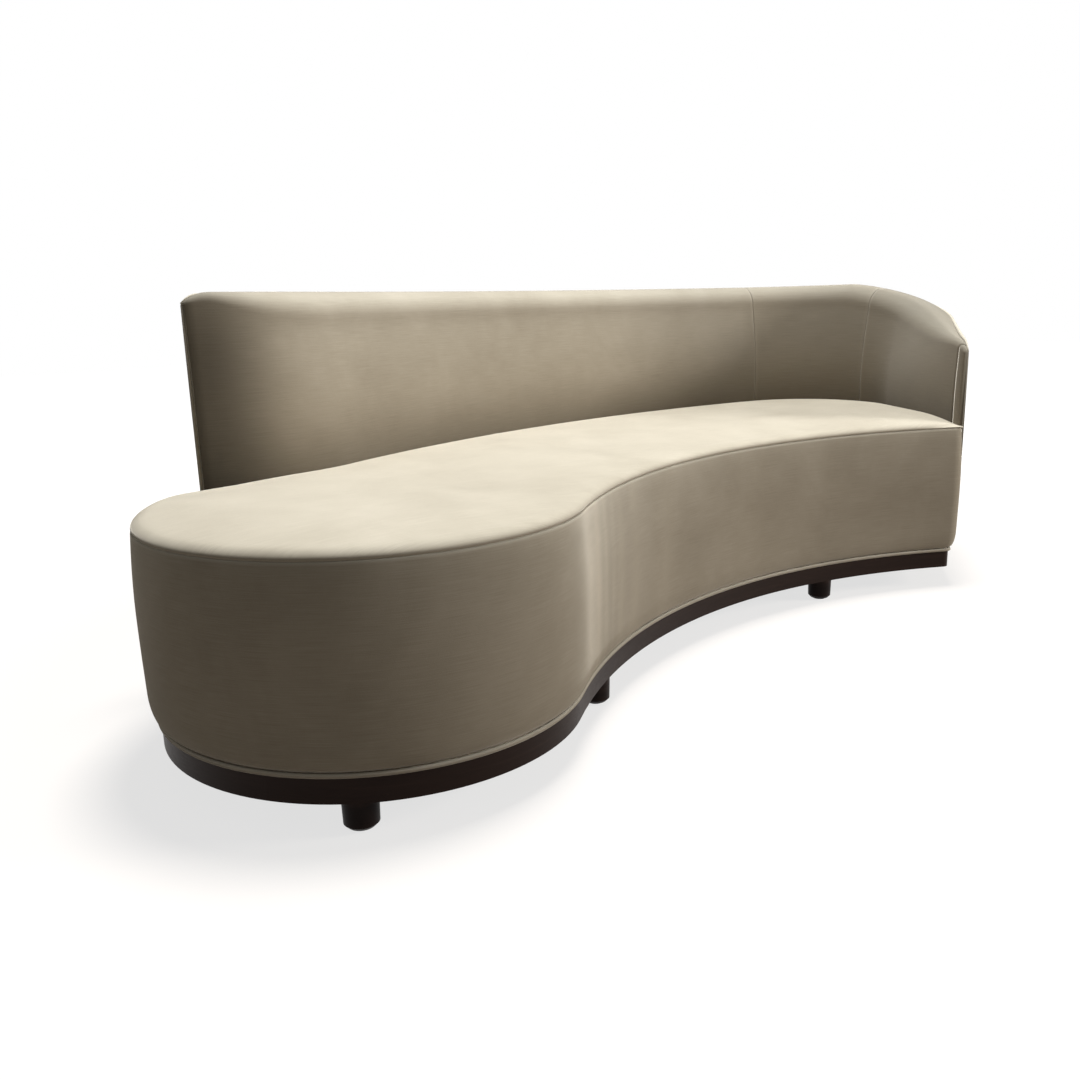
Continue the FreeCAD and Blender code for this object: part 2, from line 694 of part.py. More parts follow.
glides = []
bolts = []
sleeves = []
blocks = []
sleeve_bottom = plinth_top - size("flange_thickness") - size("sleeve_length")
block_blanks = []
inside_plinth = doc.addObject("Part::Feature", "inside_plinth")
inside_plinth.Shape = board(outline, plinth_inside + GAP, plinth_bottom, plinth_top)
for name, stretch_name, share in leg_places:
    stretch, place_on_outline = at_share(stretch_name, share)
    middle = inside_point(stretch, place_on_outline, leg_inset)
    across = normal_at(stretch, place_on_outline) - math.pi / 2
    leg_body(name, middle)
    glides.append(cylinder(name + "_glide", "Sizes.glide_radius", "Sizes.glide_height", middle, 0))
    bolts.append(cylinder(
        name + "_bolt", "Sizes.bolt_radius",
        "Sizes.bolt_depth + Sizes.plinth_height - Sizes.flange_thickness", middle,
        plinth_bottom - size("bolt_depth")))
    barrel = cylinder(name + "_barrel", "Sizes.sleeve_radius", "Sizes.sleeve_length", middle, sleeve_bottom)
    flange = cylinder(
        name + "_flange", "Sizes.flange_radius", "Sizes.flange_thickness", middle,
        plinth_top - size("flange_thickness"))
    thread = cylinder(
        name + "_thread", "Sizes.bolt_radius + Sizes.fit_gap / 2", "Sizes.plinth_height", middle, plinth_bottom)
    solid_sleeve = doc.addObject("Part::Fuse", name + "_sleeve_blank")
    solid_sleeve.Base = barrel
    solid_sleeve.Tool = flange
    sleeve = doc.addObject("Part::Cut", name + "_sleeve")
    sleeve.Base = solid_sleeve
    sleeve.Tool = thread
    sleeves.append(sleeve)
    centre_of_block = inside_point(
        stretch, place_on_outline, plinth_face + size("block_depth") / 2 + GAP)
    blank = box(name + "_block_blank", ("Sizes.block_width", "Sizes.block_depth", "Sizes.plinth_height"),
                centre_of_block, across, plinth_bottom)
    block_blanks.append(blank)
    trimmed = doc.addObject("Part::Common", name + "_block_trimmed")
    trimmed.Base = blank
    trimmed.Tool = inside_plinth
    bore = cylinder(
        name + "_bore", "Sizes.sleeve_radius + Sizes.fit_gap / 2", "Sizes.plinth_height", middle, plinth_bottom)
    recess = cylinder(
        name + "_recess", "Sizes.flange_radius + Sizes.fit_gap / 2",
        "Sizes.flange_thickness + Sizes.fit_gap / 2", middle,
        plinth_top - size("flange_thickness") - GAP / 2)
    hole = doc.addObject("Part::Fuse", name + "_block_hole")
    hole.Base = bore
    hole.Tool = recess
    block = doc.addObject("Part::Cut", name + "_block")
    block.Base = trimmed
    block.Tool = hole
    blocks.append(block)
doc.recompute()
group("leg_glides", glides)
group("leg_bolts", bolts)
group("leg_sleeves", sleeves)
group("leg_blocks", blocks)

# Plinth, in four lengths, and the screws that hold it to the bottom former

corner_cut = bearing(
    hollow_centre, meet(inset(hollow, plinth_inside), inset(arm_side, plinth_inside), corner))
hollow_end = polar(hollow_centre, size("hollow_radius"), corner_cut)
plinth_paths = [
    ("plinth_lobe", [lobe], [], back_to_lobe, lobe_to_hollow),
    ("plinth_hollow", [hollow], [], lobe_to_hollow, hollow_end),
    ("plinth_arm", [hollow, corner_round, arm_side, wrap], [hollow_to_corner, corner_to_arm, arm_to_wrap],
     hollow_end, wrap_to_back),
    ("plinth_back", [long_back], [], wrap_to_back, back_to_lobe),
]
screw_depth = plinth_face + 0.7 * size("plinth_thickness")
screw_shares = {
    "lobe": (0.135, 0.376, 0.83), "hollow": (0.235, 0.503, 0.89), "wrap": (0.144, 0.516),
    "back": (0.05, 0.2, 0.478, 0.857)}
screw_points = [
    inside_point(*at_share(name, share), screw_depth) for name, shares in screw_shares.items() for share in shares]
screw_tip = former_top - size("screw_head_height") - size("screw_length")


def screw_hole(point):
    """A clearance hole for a countersunk screw, its recess flush with the top of the former."""
    shank = Part.makeCylinder(
        size("screw_radius") + GAP / 2, size("screw_length") + GAP, lifted(point, screw_tip - GAP))
    head = Part.makeCylinder(
        size("screw_head_radius") + GAP / 2, size("screw_head_height"),
        lifted(point, former_top - size("screw_head_height")))
    return shank.fuse(head)


pilot = Part.makeCompound([screw_hole(point) for point in screw_points])
for label, stretches, joints, start, end in plinth_paths:
    path = {"stretches": stretches, "joints": joints, "start": start, "end": end}
    wall = strip(path, plinth_face, plinth_inside, plinth_bottom, plinth_top)
    curved_piece(label, wall.cut(pilot))
screws = []
for i, point in enumerate(screw_points):
    shank = cylinder("screw_shank_%d" % i, "Sizes.screw_radius", "Sizes.screw_length", point, screw_tip)
    head = cylinder("screw_head_%d" % i, "Sizes.screw_head_radius", "Sizes.screw_head_height", point,
                    screw_tip + size("screw_length"))
    screw = doc.addObject("Part::Fuse", "screw_%d" % i)
    screw.Base = shank
    screw.Tool = head
    screws.append(screw)
doc.recompute()
group("frame_screws", screws)

# Bottom former, cross rails and dust cover

former = board(outline, frame_depth, plinth_top, former_top)
opening = board(frame_region, size("former_opening"), plinth_top, former_top)
curved_piece("bottom_former", former.cut(opening).cut(pilot))
cross_rails = []
for share in (-0.353, -0.142, 0.065, 0.258):
    rail = Part.makeBox(
        size("seat_post_depth"), size("overall_depth"), size("rail_height"),
        Vector(share * size("overall_length"), -half_depth, former_top))
    field = board(frame_region, size("former_opening") - size("rail_bearing"), former_top,
                  former_top + size("rail_height"))
    cross_rails.append(rail.common(field))
curved_piece("cross_rails", Part.makeCompound(cross_rails))
dust = board(outline, plinth_inside + GAP, plinth_top - size("hessian_thickness"), plinth_top)
curved_piece("dust_cover", dust.cut([blank.Shape for blank in block_blanks]))

# Seat posts, seat former, webbing and hessian

seat_post_shares = {
    "lobe": (0.216, 0.456, 0.67, 0.884), "hollow": (0.19, 0.43, 0.62, 0.83),
    "back": (0.03, 0.2, 0.4, 0.6), "wrap": (0.255, 0.664)}
rail_middle = frame_depth + size("former_width") / 2
seat_posts = []
for name, shares in seat_post_shares.items():
    margin = rear_margin if name in ("back", "wrap") else 0
    for share in shares:
        stretch, point = at_share(name, share)
        seat_posts.append(box(
            "seat_post_%d" % len(seat_posts),
            ("Sizes.post_width", "Sizes.seat_post_depth",
             "Sizes.seat_former_top - 2 * Sizes.former_thickness - Sizes.leg_height - Sizes.plinth_height"),
            inside_point(stretch, point, rail_middle + margin),
            normal_at(stretch, point) - math.pi / 2, former_top))
doc.recompute()
group("seat_posts", seat_posts)
notch_path = {
    "stretches": [long_back], "joints": [], "start": along_back(4 * size("post_width")), "end": back_end}
notch = strip(notch_path, 0, seat_rail_front + GAP, former_top, deck_top)
seat_former = board(frame_region, frame_depth, seat_former_bottom, seat_former_top).cut(
    board(frame_region, frame_depth + size("former_width"), seat_former_bottom, seat_former_top))
curved_piece("seat_former", seat_former.cut(notch))


def webbing(along_x, bottom):
    """Straps side by side over the seat, cut to the frame."""
    top = bottom + size("web_thickness")
    cloth_field = board(frame_region, frame_depth + size("former_width") / 4, bottom, top).cut(notch)
    length = size("overall_length")
    count = int((size("overall_depth") if along_x else length) / size("web_pitch"))
    straps = []
    for i in range(count):
        offset = (i + 0.5 - count / 2) * size("web_pitch") - size("web_width") / 2
        if along_x:
            strap = Part.makeBox(length, size("web_width"), size("web_thickness"), Vector(-length / 2, offset, bottom))
        else:
            strap = Part.makeBox(size("web_width"), length, size("web_thickness"), Vector(offset, -length / 2, bottom))
        straps += strap.common(cloth_field).Solids
    return Part.makeCompound(straps)


curved_piece("seat_webbing", webbing(False, seat_former_top))
curved_piece("cross_webbing", webbing(True, seat_former_top + size("web_thickness")))
curved_piece("seat_hessian", board(frame_region, frame_depth + 2 * GAP, deck_bottom, deck_top).cut(notch))

# Seat foam and the crowned seat cover

foam_ease = GAP / skin_depth
foam_blank = board(seat_region(foam_ease), skin_depth, deck_top, band_top - GAP)
curved_piece("seat_foam", foam_blank.common(board(outline, skin_depth, deck_top, band_top - GAP)))
rings = []
for angle in between(0, math.pi / 2, 5):
    rings.append((
        1 + size("edge_draw") + size("edge_radius") * (1 - math.cos(angle)),
        band_top + size("edge_radius") * math.sin(angle)))
edge_depth, edge_height = rings[-1]
for share in (0.2, 0.45, 0.7, 1.0):
    rings.append((
        edge_depth + size("crown_run") * share,
        edge_height + size("seat_crown") * (1 - (1 - share) ** 2)))
curved_piece("seat_cover", Part.makeLoft(
    [ring_wire(seat_region(size("crown_ease")), depth, height) for depth, height in rings], True, True))

# Band below the seat: plywood skin, and padded cover that rolls in at its foot

curved_piece("band_skin", strip(
    front_path, skin_depth, skin_depth + size("skin_thickness"), plinth_top, seat_former_top))


def roll_depth(share):
    """Depth of the padding's outer face where it rolls in above the plinth, by its share of the roll's height."""
    return plinth_face * (1 - math.sqrt(1 - (1 - share) ** 2))


roll_top = band_bottom + size("roll_height")
levels = [(roll_depth(share), band_bottom + size("roll_height") * share) for share in between(0, 1, 5)]
for share in between(0, 1, 4):
    levels.append((
        size("edge_draw") * share ** 2 + 1 * share, band_top - GAP - size("draw_height") * (1 - share)))
curved_piece("band_cover", Part.makeLoft(
    [strip_wire(front_path, depth, size("band_thickness"), height) for depth, height in levels], True, True))


def tube(path, depth, height, radius):
    """Piping of round section that follows a path at one height."""
    solids = []
    for stretch, begin, end in trace(path, depth):
        if "heading" in stretch:
            solids.append(Part.makeCylinder(
                radius, (end - begin).Length, lifted(begin, height), end - begin))
            continue
        centre = stretch["centre"]
        tangent = Vector(-(begin.y - centre.y), begin.x - centre.x, 0)
        disc = Part.Face(Part.Wire(Part.Circle(lifted(begin, height), tangent, radius).toShape()))
        solids.append(disc.revolve(centre, UP, math.degrees(sweep_angle(stretch, begin, end))))
    return solids[0].multiFuse(solids[1:]) if len(solids) > 1 else solids[0]


welt_depth = plinth_face - size("welt_radius") / 2
curved_piece("base_welt_front", tube(front_path, welt_depth, welt_height, size("welt_radius")))
curved_piece("base_welt_back", tube(
    rear_path(along_arm(GAP), along_back(size("end_tip") + GAP)), welt_depth, welt_height, size("welt_radius")))

# Back frame: top rail, posts, seat rail, the arm's panel and the shaped posts at the two thin ends

top_rail_end = polar(wrap_centre, outer_wrap, fall_angle)
top_rail_path = {
    "stretches": [wrap, long_back], "joints": [wrap_to_back],
    "start": top_rail_end, "end": along_back(size("end_post_reach") + GAP)}
curved_piece("back_top_rail", strip(top_rail_path, frame_depth, rail_front, rail_bottom, rail_top))
back_posts = []
back_post_shares = {"back": (0.03, 0.19, 0.36, 0.53, 0.69, 0.85), "wrap": (0.54, 0.83)}
post_seats = [at_share(name, share) for name, shares in back_post_shares.items() for share in shares]
for stretch, point in post_seats:
    flat = math.sqrt((stretch["radius"] - frame_depth) ** 2 - (size("post_width") / 2) ** 2)
    turn = bearing(stretch["centre"], point)
    back_posts.append(box(
        "back_post_%d" % len(back_posts),
        ("Sizes.post_width", "Sizes.rail_thickness",
         "Sizes.overall_height - Sizes.rail_drop - Sizes.rail_height - Sizes.leg_height"
         " - Sizes.plinth_height - Sizes.former_thickness"),
        polar(stretch["centre"], flat - size("rail_thickness") / 2 - GAP / 3, turn),
        turn - math.pi / 2, former_top))
doc.recompute()
group("back_posts", back_posts)
seat_rail = strip(
    rear_path(along_arm(size("post_width")), along_back(size("end_post_reach"))),
    rail_front, seat_rail_front, seat_former_bottom, seat_former_top)
curved_piece("back_seat_rail", seat_rail.cut([post.Shape for post in back_posts]))

panel_end = nose_angle + math.radians(size("front_post_span"))
panel_angles = through(bend_angles, fall_angle - GAP / outer_wrap, panel_end)
panel_section = upright_section(
    frame_depth + size("panel_thickness"), frame_depth, former_top,
    lambda station: station["top"] - size("rail_drop"))
curved_piece("arm_panel", ruled(panel_section, [wrap_station(a) for a in panel_angles]))
strip_end = nose_angle + math.radians(size("strip_span"))
inner_end = strip_end + math.radians(size("strip_clearance"))
post_angles = through(bend_angles, panel_end - GAP / outer_wrap, inner_end)
rebate = strip(rear_path(corner_to_arm, back_tip), 0, skin_depth, plinth_top, roll_top + GAP)
curved_piece("arm_front_post", ruled(post_section, [wrap_station(a) for a in post_angles]).cut(rebate))
end_post_angles = through(
    end_angles, end_angle - size("end_post_start") / size("back_radius"),
    end_angle - size("end_post_reach") / size("back_radius"))
end_post = ruled(post_section, [back_station(a) for a in end_post_angles])
curved_piece("left_end_post", end_post.cut(rebate))

# Outside of the back: plywood skin, padded cover with its rolled foot, and the welt along its top edge

skin_start = end_angle - size("end_post_start") / size("back_radius")


def outside_layer(section, left, nose):
    """A layer that follows the outside from the left end of the back to the front of the arm."""
    return joined([
        ruled(section, [back_station(a) for a in through(end_angles, left, shoulder_angle)]),
        turned(section, back_station(wrap_angle), shoulder_angle),
        turned(section, wrap_station(fall_angle), wrap_angle),
        ruled(section, [wrap_station(a) for a in through(bend_angles, fall_angle, nose)])])


skin_section = upright_section(
    frame_depth - GAP, skin_depth, band_bottom, lambda station: rim(station) - 2 * GAP)
curved_piece("back_skin", outside_layer(skin_section, skin_start, inner_end).cut(rebate))


def outside_section(station):
    """The outside cover: full padding down to a foot that rolls in above the plinth, as on the band."""
    total = station["total"]
    deep = size("band_thickness")
    low_inner = total - deep * station["slant"]
    high_inner = total - (deep - GAP) * station["squeeze"]
    foot = total - plinth_face * station["slant"]
    knee = total - roll_depth(0.5) * station["slant"]
    top = rim(station) - 2 * GAP
    return section_wire(station, [
        ((low_inner, band_bottom), (low_inner, roll_top)),
        ((low_inner, roll_top), (high_inner, roll_top)),
        ((high_inner, roll_top), (high_inner, top)),
        ((high_inner, top), (total, top)),
        ((total, top), (total, roll_top)),
        ((total, roll_top), (knee, (roll_top + band_bottom) / 2), (foot, band_bottom)),
        ((foot, band_bottom), (low_inner, band_bottom))])


def strip_section(station):
    """The outside cover where it turns round the front of the arm, as far in as the inside cover's face."""
    out = padded_face(station, 0)
    foot_of_strip = (out["edge"][0], back_low)
    return section_wire(station, [
        ((0, back_low), out["foot"]),
        (out["foot"], out["swell"], out["brow"]),
        (out["brow"], out["shoulder"], out["crest"]),
        (out["crest"], out["fall"], out["edge"]),
        (out["edge"], foot_of_strip),
        (foot_of_strip, (0, back_low))])


front_strip = ruled(strip_section, [wrap_station(a) for a in through(bend_angles, strip_end, nose_angle)])
curved_piece("outside_back_cover", joined([outside_layer(outside_section, tip_start, nose_angle), front_strip]))


def welt_section(station):
    """Round piping that rests on the outside cover, below the edge of the inside cover."""
    radius = size("welt_radius") * station["squeeze"]
    across = station["total"] - radius
    height = rim(station) - GAP + radius
    points = [
        (across + radius * math.cos(i * math.pi / 4), height + radius * math.sin(i * math.pi / 4))
        for i in range(9)]
    return section_wire(station, [points[i:i + 3] for i in range(0, 8, 2)])


curved_piece("back_welt", outside_layer(welt_section, tip_start, nose_angle))

# Back webbing and foam

straps = []
for share in between(0.03, 0.84, 11):
    turn = bearing(back_centre, at_share("back", share)[1])
    straps.append(box(
        "back_web_%d" % len(straps),
        ("Sizes.web_width", "Sizes.web_thickness",
         "Sizes.overall_height - Sizes.rail_drop - Sizes.seat_former_top - Sizes.welt_radius"),
        polar(back_centre, size("back_radius") - web_back - size("web_thickness") / 2, turn),
        turn - math.pi / 2, seat_former_top + GAP))
doc.recompute()
group("back_webbing", straps)

back_foam = foam_section(foam_back)
arm_foam = foam_section(frame_depth + size("panel_thickness") + GAP)


def long_panel(section, left):
    """The long back with its left end, and the first of the corner up to the seam."""
    return joined([
        ruled(section, [back_station(a) for a in through(end_angles, left, shoulder_angle)]),
        turned(section, back_station(wrap_angle), shoulder_angle),
        turned(section, wrap_station(seam_back), wrap_angle)])


def corner_panel(level_section, falling_section):
    """The corner between its two seams, level at first and then falling."""
    return joined([
        turned(level_section, wrap_station(fall_angle), seam_back),
        ruled(falling_section, [wrap_station(a) for a in through(bend_angles, fall_angle, seam_arm)])])


foam_end = end_angle - (size("end_post_reach") + GAP) / size("back_radius")
curved_piece("back_foam", long_panel(back_foam, foam_end))
curved_piece("corner_foam", corner_panel(back_foam, arm_foam))
arm_foam_angles = through(bend_angles, seam_arm, panel_end)
curved_piece("arm_foam", ruled(arm_foam, [wrap_station(a) for a in arm_foam_angles]))

# Inside covers, sewn together at the two upright seams

curved_piece("inside_back_cover", long_panel(cover_section, tip_start))
curved_piece("inside_corner_cover", corner_panel(cover_section, cover_section))
arm_cover_angles = through(bend_angles, seam_arm, strip_end + GAP / outer_wrap)
curved_piece("inside_arm_cover", ruled(cover_section, [wrap_station(a) for a in arm_cover_angles]))

# Every object and every sub-part is sound before anything is written

doc.recompute()
for item in doc.Objects:
    if "Invalid" in item.State or "Error" in item.State:
        raise RuntimeError("%s is %s" % (item.Label, item.State))
for node in nodes:
    if node.Shape.isNull() or not node.Shape.isValid() or not node.Shape.Solids:
        raise RuntimeError("%s has no sound shape" % node.Label)
os.makedirs("parts", exist_ok=True)
for node in nodes:
    shape = node.Shape
    shape.exportStep("parts/%s.step" % node.Label)
    limits = shape.BoundBox
    print("%-22s %2d solids %10.1f cm3  x %7.1f %7.1f  y %7.1f %7.1f  z %6.1f %6.1f" % (
        node.Label, len(shape.Solids), shape.Volume / 1000, limits.XMin, limits.XMax,
        limits.YMin, limits.YMax, limits.ZMin, limits.ZMax))
print("%d nodes" % len(nodes))
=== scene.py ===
"""Looks, light and camera for the curved sofa. Lengths are metres in the part's own frame."""
import json
import math

import bmesh
import bpy
import numpy as np
from mathutils import Matrix, Vector
from mathutils.geometry import delaunay_2d_cdt
from mathutils.kdtree import KDTree


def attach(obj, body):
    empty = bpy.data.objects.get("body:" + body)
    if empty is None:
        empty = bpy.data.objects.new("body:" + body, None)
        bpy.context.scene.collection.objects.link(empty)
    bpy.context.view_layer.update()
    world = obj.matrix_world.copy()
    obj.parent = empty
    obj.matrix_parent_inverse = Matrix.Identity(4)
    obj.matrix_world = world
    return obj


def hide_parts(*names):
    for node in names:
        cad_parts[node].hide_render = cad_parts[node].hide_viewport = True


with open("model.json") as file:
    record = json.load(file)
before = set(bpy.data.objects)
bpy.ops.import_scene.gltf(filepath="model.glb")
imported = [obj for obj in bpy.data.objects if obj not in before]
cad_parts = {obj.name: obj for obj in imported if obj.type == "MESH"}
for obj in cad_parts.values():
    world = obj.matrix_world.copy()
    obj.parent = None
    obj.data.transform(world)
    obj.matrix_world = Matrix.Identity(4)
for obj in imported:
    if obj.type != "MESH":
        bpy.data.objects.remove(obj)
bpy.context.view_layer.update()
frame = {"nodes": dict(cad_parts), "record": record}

# Driving sizes, the same as the construction's

LENGTH, DEPTH, HEIGHT = 2.325, 1.181, 0.775
LOBE_RADIUS = 0.380
HOLLOW_RADIUS = 1.182
BACK_RADIUS = 2.753
WRAP_RADIUS = 0.256
BACK_THICKNESS = 0.1375
ARM_HEADING = math.radians(40.65)
CORNER_RADIUS = 0.034
HOLLOW_START = math.radians(48.2)
END_SETBACK = 0.0295
END_ROUND = 0.285
END_TIP = 0.008
PLINTH_TOP = 0.091
PLINTH_INSET = 0.016
BAND_THICKNESS = 0.020
SKIN_DEPTH = 0.0203
FRAME_DEPTH = 0.0246
FOAM_BACK = 0.0573
DECK_TOP = 0.3141
WELT_RADIUS = 0.004
WELT_GAP = 0.0003
ROLL_HEIGHT = 0.046
SEAM_HEIGHT = 0.4095
SEAT_TOP = 0.439
EDGE_DRAW = 0.005
DRAW_HEIGHT = 0.140
LEAN = 0.022
SWELL = 0.009
SHOULDER = 0.058
CREST_FALL = 0.016
RAIL_DROP = 0.035
THIN_LIMIT = 0.060
SEAM_BACK = math.radians(75)
SEAM_ARM = 0.0
FALL_START = math.radians(16)
ARM_FALL = 0.160
FALL_CURVE = 1.3
ARM_NOSE = 0.018
END_NOSE = 0.026
STRIP_SPAN = math.radians(2.2)
CLEAR = 0.0004
STEP = 0.012

# Looks of the padding: how full its faces are, and how its edges turn in

BAND_FULLNESS, BACK_FULLNESS = 0.0016, 0.0012
LIP_DEPTH, LIP_RISE = 0.0015, 0.0012
SEAM_REACH = 0.006
MIDDLE_ROW = 0.25
REAR_ROW = 0.5
CROWN_FRONT, CROWN_REACH = 0.0155, 0.20
CROWN_REAR, REAR_REACH = 0.0105, 0.14
EDGE_ROUND, REAR_ROUND, EDGE_SHARE = 0.017, 0.010, 0.8
EDGE_RISE, EDGE_SLOPE = 0.0036, 0.15
FIELD_STEP, FIELD_ROW, FIELD_MARGIN = 0.016, 0.866, 0.034
GROOVE, GROOVE_DEPTH = 0.005, 0.0032
HAIR = 0.00015
ARM_REAR = 0.0429
LEAST_PAD, LEAST_SHELF = 0.0055, 0.0005

# Painted highlight streaks on the band, where it turns and the velvet catches grazing light: metres past the
# lobe, width and strength

HIGHLIGHT_STREAKS = (
    (0.020, 0.042, 0.30),
    (0.078, 0.022, 0.30),
    (0.128, 0.013, 0.16),
    (0.172, 0.009, 0.12),
    (0.212, 0.020, 0.11),
    (0.290, 0.030, 0.06),
    (0.430, 0.050, 0.08),
    (0.760, 0.070, 0.05))
STREAK_LEAN = 0.03
STREAK_FOOT, STREAK_REACH, STREAK_FADE = 0.08, 0.36, 0.4

# Painted shade on the back, where its faces turn from the light: at its left end, in the corner, on the arm
# and the strip round its front, and a painted contact shadow low above the seat

END_SHADE, END_SHADE_FROM, END_SHADE_TO = 0.58, 0.02, 0.20
CORNER_SHADE, CORNER_SHADE_FROM, CORNER_SHADE_TO, CORNER_SHADE_GAIN = 0.30, -0.75, -0.05, 0.14
ARM_SHADE, ARM_SHADE_RIPPLE, RIPPLE_PACE = 0.44, 0.04, 9
STRIP_SHADE, STRIP_REACH = 0.42, 0.024
LOW_CONTACT_SHADOW, LOW_LEVEL, LOW_REACH, LOW_FADE = 0.42, 0.44, 0.13, 1.6
# Painted shade at the crest: the side shade eases there and a little painted shade lies over the top
CREST_FROM, CREST_TO, CREST_SHADE_RELIEF, CREST_SHADE = 0.66, 0.76, 0.45, 0.12


# Plan geometry: points are complex numbers, x + iy

def polar(centre, radius, angle):
    return centre + radius * np.exp(1j * np.asarray(angle))


def bearing(centre, point):
    return float(np.angle(point - centre))


half_length, half_depth = LENGTH / 2, DEPTH / 2
lobe_centre = complex(LOBE_RADIUS - half_length, LOBE_RADIUS - half_depth)
outer_wrap = WRAP_RADIUS + BACK_THICKNESS
back_level = half_depth - BACK_RADIUS
back_centre = complex(
    lobe_centre.real + math.sqrt((BACK_RADIUS - LOBE_RADIUS) ** 2 - (lobe_centre.imag - back_level) ** 2),
    back_level)
wrap_x = half_length - outer_wrap
wrap_centre = complex(
    wrap_x, back_level + math.sqrt((BACK_RADIUS - outer_wrap) ** 2 - (wrap_x - back_centre.real) ** 2))
hollow_centre = complex(polar(lobe_centre, LOBE_RADIUS + HOLLOW_RADIUS, -HOLLOW_START))


def on_circle(centre, radius, point, heading, near):
    """Where a line through a point crosses a circle, nearest to another point."""
    along = np.exp(1j * heading)
    offset = point - centre
    middle = -(offset * np.conj(along)).real
    half = math.sqrt(max(0.0, middle ** 2 - abs(offset) ** 2 + radius ** 2))
    places = (complex(point + along * (middle + half)), complex(point + along * (middle - half)))
    return min(places, key=lambda p: abs(p - near))


outer_heading, outer_normal = ARM_HEADING, ARM_HEADING - math.pi / 2
arm_to_wrap = complex(polar(wrap_centre, outer_wrap, outer_normal))
corner = on_circle(hollow_centre, HOLLOW_RADIUS, arm_to_wrap, outer_heading, arm_to_wrap)
inner_heading = bearing(corner, wrap_centre) - math.asin(WRAP_RADIUS / abs(wrap_centre - corner))
inner_normal = inner_heading - math.pi / 2
wrap_angle = bearing(back_centre, wrap_centre)
lobe_angle = bearing(back_centre, lobe_centre)
end_angle = lobe_angle - END_SETBACK / BACK_RADIUS
tip_angle = end_angle - END_TIP / BACK_RADIUS
inner_radius = BACK_RADIUS - BACK_THICKNESS
end_turn = END_ROUND / BACK_RADIUS
end_radius = (inner_radius ** 2 + BACK_RADIUS ** 2 - 2 * inner_radius * BACK_RADIUS * math.cos(end_turn)) / (
    2 * BACK_RADIUS * math.cos(end_turn) - 2 * inner_radius)
shoulder_angle = end_angle - end_turn
end_centre = complex(polar(back_centre, inner_radius + end_radius, shoulder_angle))


def fillet_heart():
    """Centre of the rounded right front corner: as far from the hollow as from the arm's side."""
    base = corner + CORNER_RADIUS * np.exp(1j * (outer_heading + math.pi / 2))
    return on_circle(hollow_centre, HOLLOW_RADIUS + CORNER_RADIUS, base, outer_heading, base)


corner_heart = fillet_heart()
corner_to_arm = complex(polar(corner_heart, CORNER_RADIUS, outer_normal))
nose_angle = bearing(wrap_centre, corner_to_arm)


def arc_run(centre, radius, begin, end, step=STEP):
    """Points along an arc, with the direction to the inside of the sofa at each."""
    count = max(3, math.ceil(abs(end - begin) * radius / step) + 1)
    angles = np.linspace(begin, end, count)
    inward = -np.sign(end - begin) * np.exp(1j * angles)
    return polar(centre, radius, angles), inward


def line_run(begin, end, step=STEP):
    count = max(2, math.ceil(abs(end - begin) / step) + 1)
    points = begin + (end - begin) * np.linspace(0, 1, count)
    return points, np.full(count, 1j * (end - begin) / abs(end - begin))


def chain(*runs):
    """Several runs end to end, each shared point kept once."""
    points = np.concatenate([runs[0][0]] + [run[0][1:] for run in runs[1:]])
    inward = np.concatenate([runs[0][1]] + [run[1][1:] for run in runs[1:]])
    return points, inward


def front_run(step=STEP):
    """The outline from the back's left end round the lobe and along the hollow to the right front corner."""
    hollow_from = bearing(hollow_centre, lobe_centre)
    hollow_to = bearing(hollow_centre, corner_heart)
    return chain(
        arc_run(back_centre, BACK_RADIUS, tip_angle, lobe_angle, step),
        arc_run(lobe_centre, LOBE_RADIUS, lobe_angle, 2 * math.pi - HOLLOW_START, step),
        arc_run(hollow_centre, HOLLOW_RADIUS, hollow_from, hollow_to, step),
        arc_run(corner_heart, CORNER_RADIUS, hollow_to - math.pi, outer_normal, step / 3))


def rear_run(step=STEP):
    """The outline from the right front corner along the arm and round the back to its left end."""
    arm_end = complex(polar(wrap_centre, outer_wrap, outer_normal))
    return chain(
        line_run(corner_to_arm, arm_end, step),
        arc_run(wrap_centre, outer_wrap, outer_normal, wrap_angle, step),
        arc_run(back_centre, BACK_RADIUS, wrap_angle, tip_angle, step))


def lengths(points):
    """Distance along a run at each of its points."""
    return np.concatenate([[0.0], np.cumsum(np.abs(np.diff(points)))])


# Meshes

def mark(piece, name, values):
    """A number for each point of a mesh, which its material reads."""
    attribute = piece.data.attributes.new(name, "FLOAT", "POINT")
    attribute.data.foreach_set("value", np.asarray(values, dtype=np.float32).reshape(-1))


def new_piece(name, vertices, faces, uvs, seam=None):
    mesh = bpy.data.meshes.new(name)
    mesh.from_pydata([tuple(map(float, v)) for v in vertices], [], faces)
    mesh.validate()
    layer = mesh.uv_layers.new(name="cloth")
    for loop in mesh.loops:
        layer.data[loop.index].uv = uvs[loop.vertex_index]
    for polygon in mesh.polygons:
        polygon.use_smooth = True
    piece = bpy.data.objects.new(name, mesh)
    bpy.context.collection.objects.link(piece)
    if seam is not None:
        mark(piece, "seam", seam)
    return piece


def mark_painted_shading(piece, rows, values):
    """Painted shade at each point, negative where it is a painted highlight, from the nearest point of the
    rows that the piece was made of.
    """
    places, values = np.asarray(rows).reshape(-1, 3), np.asarray(values).reshape(-1)
    tree = KDTree(len(places))
    for i, place in enumerate(places):
        tree.insert(place, i)
    tree.balance()
    mark(piece, "painted_shading_mark", [values[tree.find(vertex.co)[1]] for vertex in piece.data.vertices])


